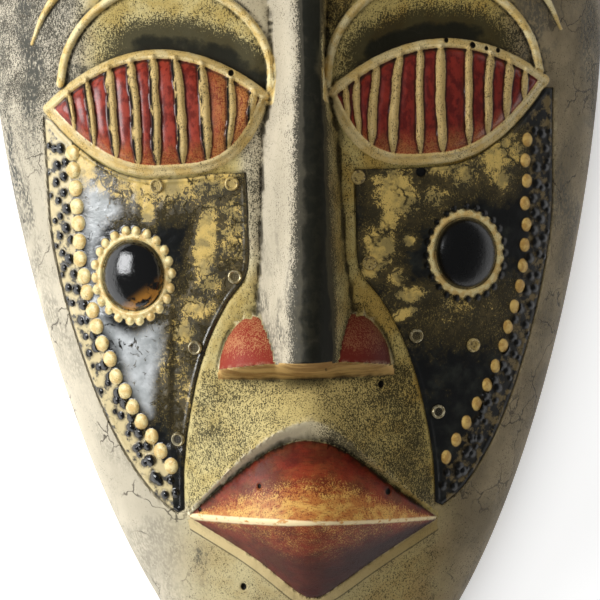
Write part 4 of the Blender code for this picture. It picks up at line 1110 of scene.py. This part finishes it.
def make_plate_finish(side):
    """Glossy black paint on sheet metal, with yellow paint rubbed over its high places."""
    finish, tree, shader = new_finish("left_plate_paint" if side < 0 else "right_plate_paint")
    look = PLATE_LOOKS[side]
    mark = {name: read_mark(tree, name) for name in PLATE_MARKS}
    black = patches(tree, (11, 12, 11), (40, 42, 36), 0.45, 0.75, 7.0, 4.0, seed=1.0)
    yellow = patches(tree, (208, 178, 100), (150, 132, 80), 0.4, 0.6, 6.0, 5.0, seed=2.0)
    broad = (mottle(tree, 9.0, 5.0, seed=3.0, warp=0.8) - 0.5) * 1.1
    ragged = (mottle(tree, 2.6, 7.0, seed=6.0, warp=1.2) - 0.5) * 1.6
    level = mark["painted"] + (broad + ragged)
    rubbed = between(level, -0.1, 0.8)
    dust = rub(tree, paint(150, 130, 74), paint(10, 11, 9), 0.9)
    black = over(between(level, -0.85, -0.15), black, dust)
    speckled = rub(tree, yellow, paint(22, 22, 18), 1.12 - rubbed * 0.9)
    creases = crazing(tree, bend=260.0, detail=5.0, shift=0.006, cells=230.0)
    crease = between(creases, 0.13, 0.02) * between(mottle(tree, 7.0, seed=15.0), 0.44, 0.6)
    dabbed = between(level, -0.1, 0.06) * (1.0 - crease)
    colour = over(dabbed, black, speckled)
    # Painted sheen: the light's reflection on the left plate, painted on in pale grey with a soft, wandering
    # edge.
    sheen_paint = patches(tree, (192, 195, 196), (150, 154, 154), 0.38, 0.66, 8.0, seed=12.0)
    wander = (mottle(tree, 7.0, 6.0, seed=13.0) - 0.5) * 4.0
    polish = between(mark["painted_sheen"] + wander, -0.8, 4.0)
    lumps = between(mottle(tree, 3.4, 6.0, seed=14.0, warp=1.0), 0.66, 0.56)
    colour = over(polish * lumps * 0.92, colour, sheen_paint)
    pale = patches(tree, (226, 208, 150), (208, 176, 110), 0.4, 0.6, 2.4, seed=4.0)
    pale = rub(tree, pale, paint(60, 48, 28), 0.2)
    border = hand_edge(mark["border"] - 1.0, 1.4, 0.5)
    tan = patches(tree, *look["border paint"], 3.0, 4.0, seed=5.0)
    colour = over(border * look["border share"], colour, tan)
    ring = hand_edge(mark["ring"], look["ring wander"], 0.3)
    colour = over(ring, colour, pale)
    boss, disc = hand_edge(mark["boss"], 0.35, 0.25), hand_edge(mark["disc"], 0.2, 0.2)
    gold = patches(tree, (214, 180, 104), (186, 146, 78), 0.4, 0.6, 2.0)
    colour = over(boss, colour, pale if side < 0 else paint(12, 12, 11))
    colour = over(disc, colour, pale if side < 0 else gold)
    bead_mask = hand_edge(mark["bead"], 0.15, 0.25) * (1.0 - disc)
    # Painted shade: a dark ring round the foot of each bead, fainter on the discs.
    bead_shade = between(mark["bead"], -1.1, 0.1) * between(mottle(tree, 1.8, 4.0, seed=16.0), 0.34, 0.56)
    colour = over(bead_shade * (0.8 - disc * 0.8), colour, paint(44, 38, 26))
    colour = over(bead_mask, colour, paint(10, 10, 9))
    dome = hand_edge(mark["dome"], 0.35, 0.25)
    glow = mark["dome_low"] * between(mottle(tree, 4.0, 4.0, seed=6.0), 0.42, 0.55)
    colour = over(dome, colour, over(glow, paint(9, 9, 9), paint(196, 134, 52)))
    # Painted shade: the hollows of the pressed sheet are darkened towards near black.
    colour = over(between(mark["lows"], 0.04, 0.16) * 0.75, colour, paint(16, 14, 10))
    line = 1.0 - between(mark["edge"], 0.1, 0.4)
    colour = over(line * 0.7, colour, paint(30, 26, 18))
    colour = over(hand_edge(mark["hole"], 0.1, 0.1), colour, paint(8, 7, 6))
    dull = larger(larger(dabbed, ring), larger(larger(boss, disc) if side < 0 else disc, border))
    dull = dull * (1.0 - larger(dome, bead_mask))
    rough = look["gloss"] + dull * 0.24 + mottle(tree, 1.5, 4.0, seed=7.0) * 0.1
    relief = mottle(tree, 2.2, 5.0, seed=8.0) + mottle(tree, 0.5, 2.0, seed=9.0) * 0.25
    fill(shader, {"Base Color": colour, "Roughness": rough * (1.0 - dome * look["dome polish"]),
                  "Specular IOR Level": look["shine"], "Normal": raised(relief, 0.5, 0.00025)})
    return finish


def make_plate(side):
    """The sheet's pressed face, its cut edge and its plain back."""
    bm = bmesh.new()
    rims = []
    for grid, drop in ((FRONT_GRID, 0.0), (BACK_GRID, SHEET)):
        def shape(across, along):
            x, y = plate_plan(side, (across + 1.0) / 2.0, (1.0 - along) / 2.0)
            up = bare_face(x, y) - SHEET_DROP - drop
            return x, y, up if drop else up + press_plate(side, x, y)[0]

        corners = lay_grid(bm, *grid, shape)
        rims.append([corners[index] for index in grid_border(*grid)])
    close_between(bm, *rims)
    word, finish = "left" if side < 0 else "right", make_plate_finish(side)
    name, node = f"{word}_pressed_plate", f"{word}_cheek_plate"
    piece = finish_piece(name, bm, finish, node, sharp=60.0)
    x, y, _ = corners_of(piece.data).T / MILLIMETRE
    marks = press_plate(side, x, y)[1]
    marks["lows"] = hollowness(piece.data, 1)
    for name, value in marks.items():
        write_mark(piece.data, name, value)


make_plate(-1)
make_plate(1)

# The nails that hold the plates. Each is a small round-headed steel tack, driven through the sheet
# into the wood, with a rolled ring round a flat cross-cut middle that took the black paint.
def make_nail_finish():
    finish, tree, shader = new_finish("worn_nail_steel")
    where = feed(tree, "ShaderNodeUVMap", {"uv_map": "head"}, {})
    middle = feed(tree, "ShaderNodeVectorMath", {"operation": "LENGTH"}, {0: where}, "Value")
    cuts = []
    for angle in (35.0, 125.0):
        sockets = {"Vector": where, "Angle": math.radians(angle)}
        turned = feed(tree, "ShaderNodeVectorRotate", {"rotation_type": "Z_AXIS"}, sockets)
        cuts.append(feed(tree, "ShaderNodeTexWave", {}, {"Vector": turned, "Scale": 0.55, "Distortion": 0.8}))
    cut = cuts[0] * cuts[1]
    inside = 1.0 - between(middle, 1.15, 1.45)
    metal = patches(tree, (206, 196, 164), (146, 132, 96), 0.4, 0.6, 1.0)
    dark = over(between(cut, 0.1, 0.45), paint(14, 13, 11), paint(84, 76, 56))
    rubbed = read_mark(tree, "rubbed")
    painted = patches(tree, (188, 164, 100), (96, 80, 48), 0.5, 0.62, 0.9, 4.0, seed=2.0)
    fill(shader, {"Base Color": over(rubbed, over(inside, metal, dark), painted),
                  "Metallic": 0.75 - larger(inside, rubbed) * 0.6, "Roughness": 0.34 + inside * 0.2,
                  "Normal": raised(cut * inside, 0.6, 0.0002)})
    return finish


nail_finish = make_nail_finish()


def seat(x, y):
    """The turn and place that stand a nail square on the face."""
    step = 0.5
    sample = lambda px, py: float(bare_face(np.array([px]), np.array([py]))[0])
    slope_x = (sample(x + step, y) - sample(x - step, y)) / (2 * step)
    slope_y = (sample(x, y + step) - sample(x, y - step)) / (2 * step)
    turn = Vector((-slope_x, -slope_y, 1.0)).normalized().to_track_quat("Z", "Y").to_matrix().to_4x4()
    return Matrix.Translation((x, y, sample(x, y) - SHEET_DROP)) @ turn


def make_nail(name, side, spot, rubbed):
    bm = bmesh.new()
    profile = ((0.0, 0.62), (0.9, 0.60), (1.25, 0.62), (1.45, 0.95), (1.75, 1.12), (2.05, 0.95), (2.2, 0.5),
               (2.15, 0.05), (0.8, 0.0), (0.8, -6.0), (0.0, -6.0))
    corners = [bm.verts.new((reach, 0.0, level)) for reach, level in profile]
    edges = [bm.edges.new(pair) for pair in zip(corners, corners[1:])]
    bmesh.ops.spin(bm, geom=corners + edges, cent=(0, 0, 0), axis=(0, 0, 1), angle=2 * math.pi,
                   steps=32, use_merge=True)
    bmesh.ops.remove_doubles(bm, verts=bm.verts, dist=1e-4)
    head = bm.loops.layers.uv.new("head")
    for face in bm.faces:
        for loop in face.loops:
            loop[head].uv = (loop.vert.co.x, loop.vert.co.y)
    bm.transform(seat(side * spot[0], spot[1]))
    piece = finish_piece(name + "_tack", bm, nail_finish, name, sharp=50.0)
    write_mark(piece.data, "rubbed", np.full(len(piece.data.vertices), rubbed))


for side, word in ((-1, "left"), (1, "right")):
    for number, spot in enumerate(NAILS[side]):
        make_nail(f"{word}_plate_nail_{number + 1}", side, spot, RUBBED[side][number])

# The studio: a plain pale floor, a large soft light on the viewer's left, a weak one on the right,
# and a long lens looking straight down on the face.
floor_mesh = bpy.data.meshes.new("floor")
bm = bmesh.new()
bmesh.ops.create_grid(bm, x_segments=1, y_segments=1, size=3.0)
bm.to_mesh(floor_mesh)
bm.free()
floor_paper, _, shader = new_finish("pale_paper")
fill(shader, {"Base Color": (0.95, 0.95, 0.95, 1.0), "Roughness": 0.9,
              "Emission Color": (1.0, 1.0, 1.0, 1.0), "Emission Strength": 0.45})
floor_mesh.materials.append(floor_paper)
floor = add_object("floor", floor_mesh)


def add_light(name, place, aim, size, power, tint, mirrored=True):
    lamp = bpy.data.lights.new(name, "AREA")
    lamp.shape, lamp.size, lamp.size_y, lamp.energy, lamp.color = "RECTANGLE", size[0], size[1], power, tint
    holder = add_object(name, lamp)
    holder.location = place
    holder.visible_glossy = mirrored
    holder.rotation_euler = (Vector(aim) - Vector(place)).to_track_quat("-Z", "Y").to_euler()


add_light("window_light", (-1.3, 0.18, 0.60), (0.0, -0.03, 0.05), (0.78, 0.72), 22.0, (0.98, 0.99, 1.0))
add_light("ceiling_light", (-0.55, 0.35, 1.5), (0.0, -0.03, 0.03), (1.2, 1.2), 13.0, (1.0, 0.99, 0.97), False)
add_light("fill_light", (1.2, -0.2, 0.8), (0.0, 0.0, 0.03), (0.9, 0.9), 1.5, (1.0, 0.96, 0.90), False)
world = bpy.data.worlds.new("studio_air")
world.use_nodes = True
fill(world.node_tree.nodes["Background"], {"Color": (0.95, 0.97, 1.0, 1.0), "Strength": 0.15})
scene = bpy.context.scene
scene.world = world
scene.view_settings.view_transform = "Standard"

lens = bpy.data.cameras.new("photo_camera")
lens.lens, lens.sensor_width = 200.0, 36.0
lens.clip_start, lens.clip_end = 0.05, 20.0
scene.camera = add_object("photo_camera", lens)
camera_turn = Matrix.Rotation(-math.radians(1.63), 4, "Z")
scene.camera.matrix_world = Matrix.Translation((-0.0012, -0.0398, 1.060)) @ camera_turn
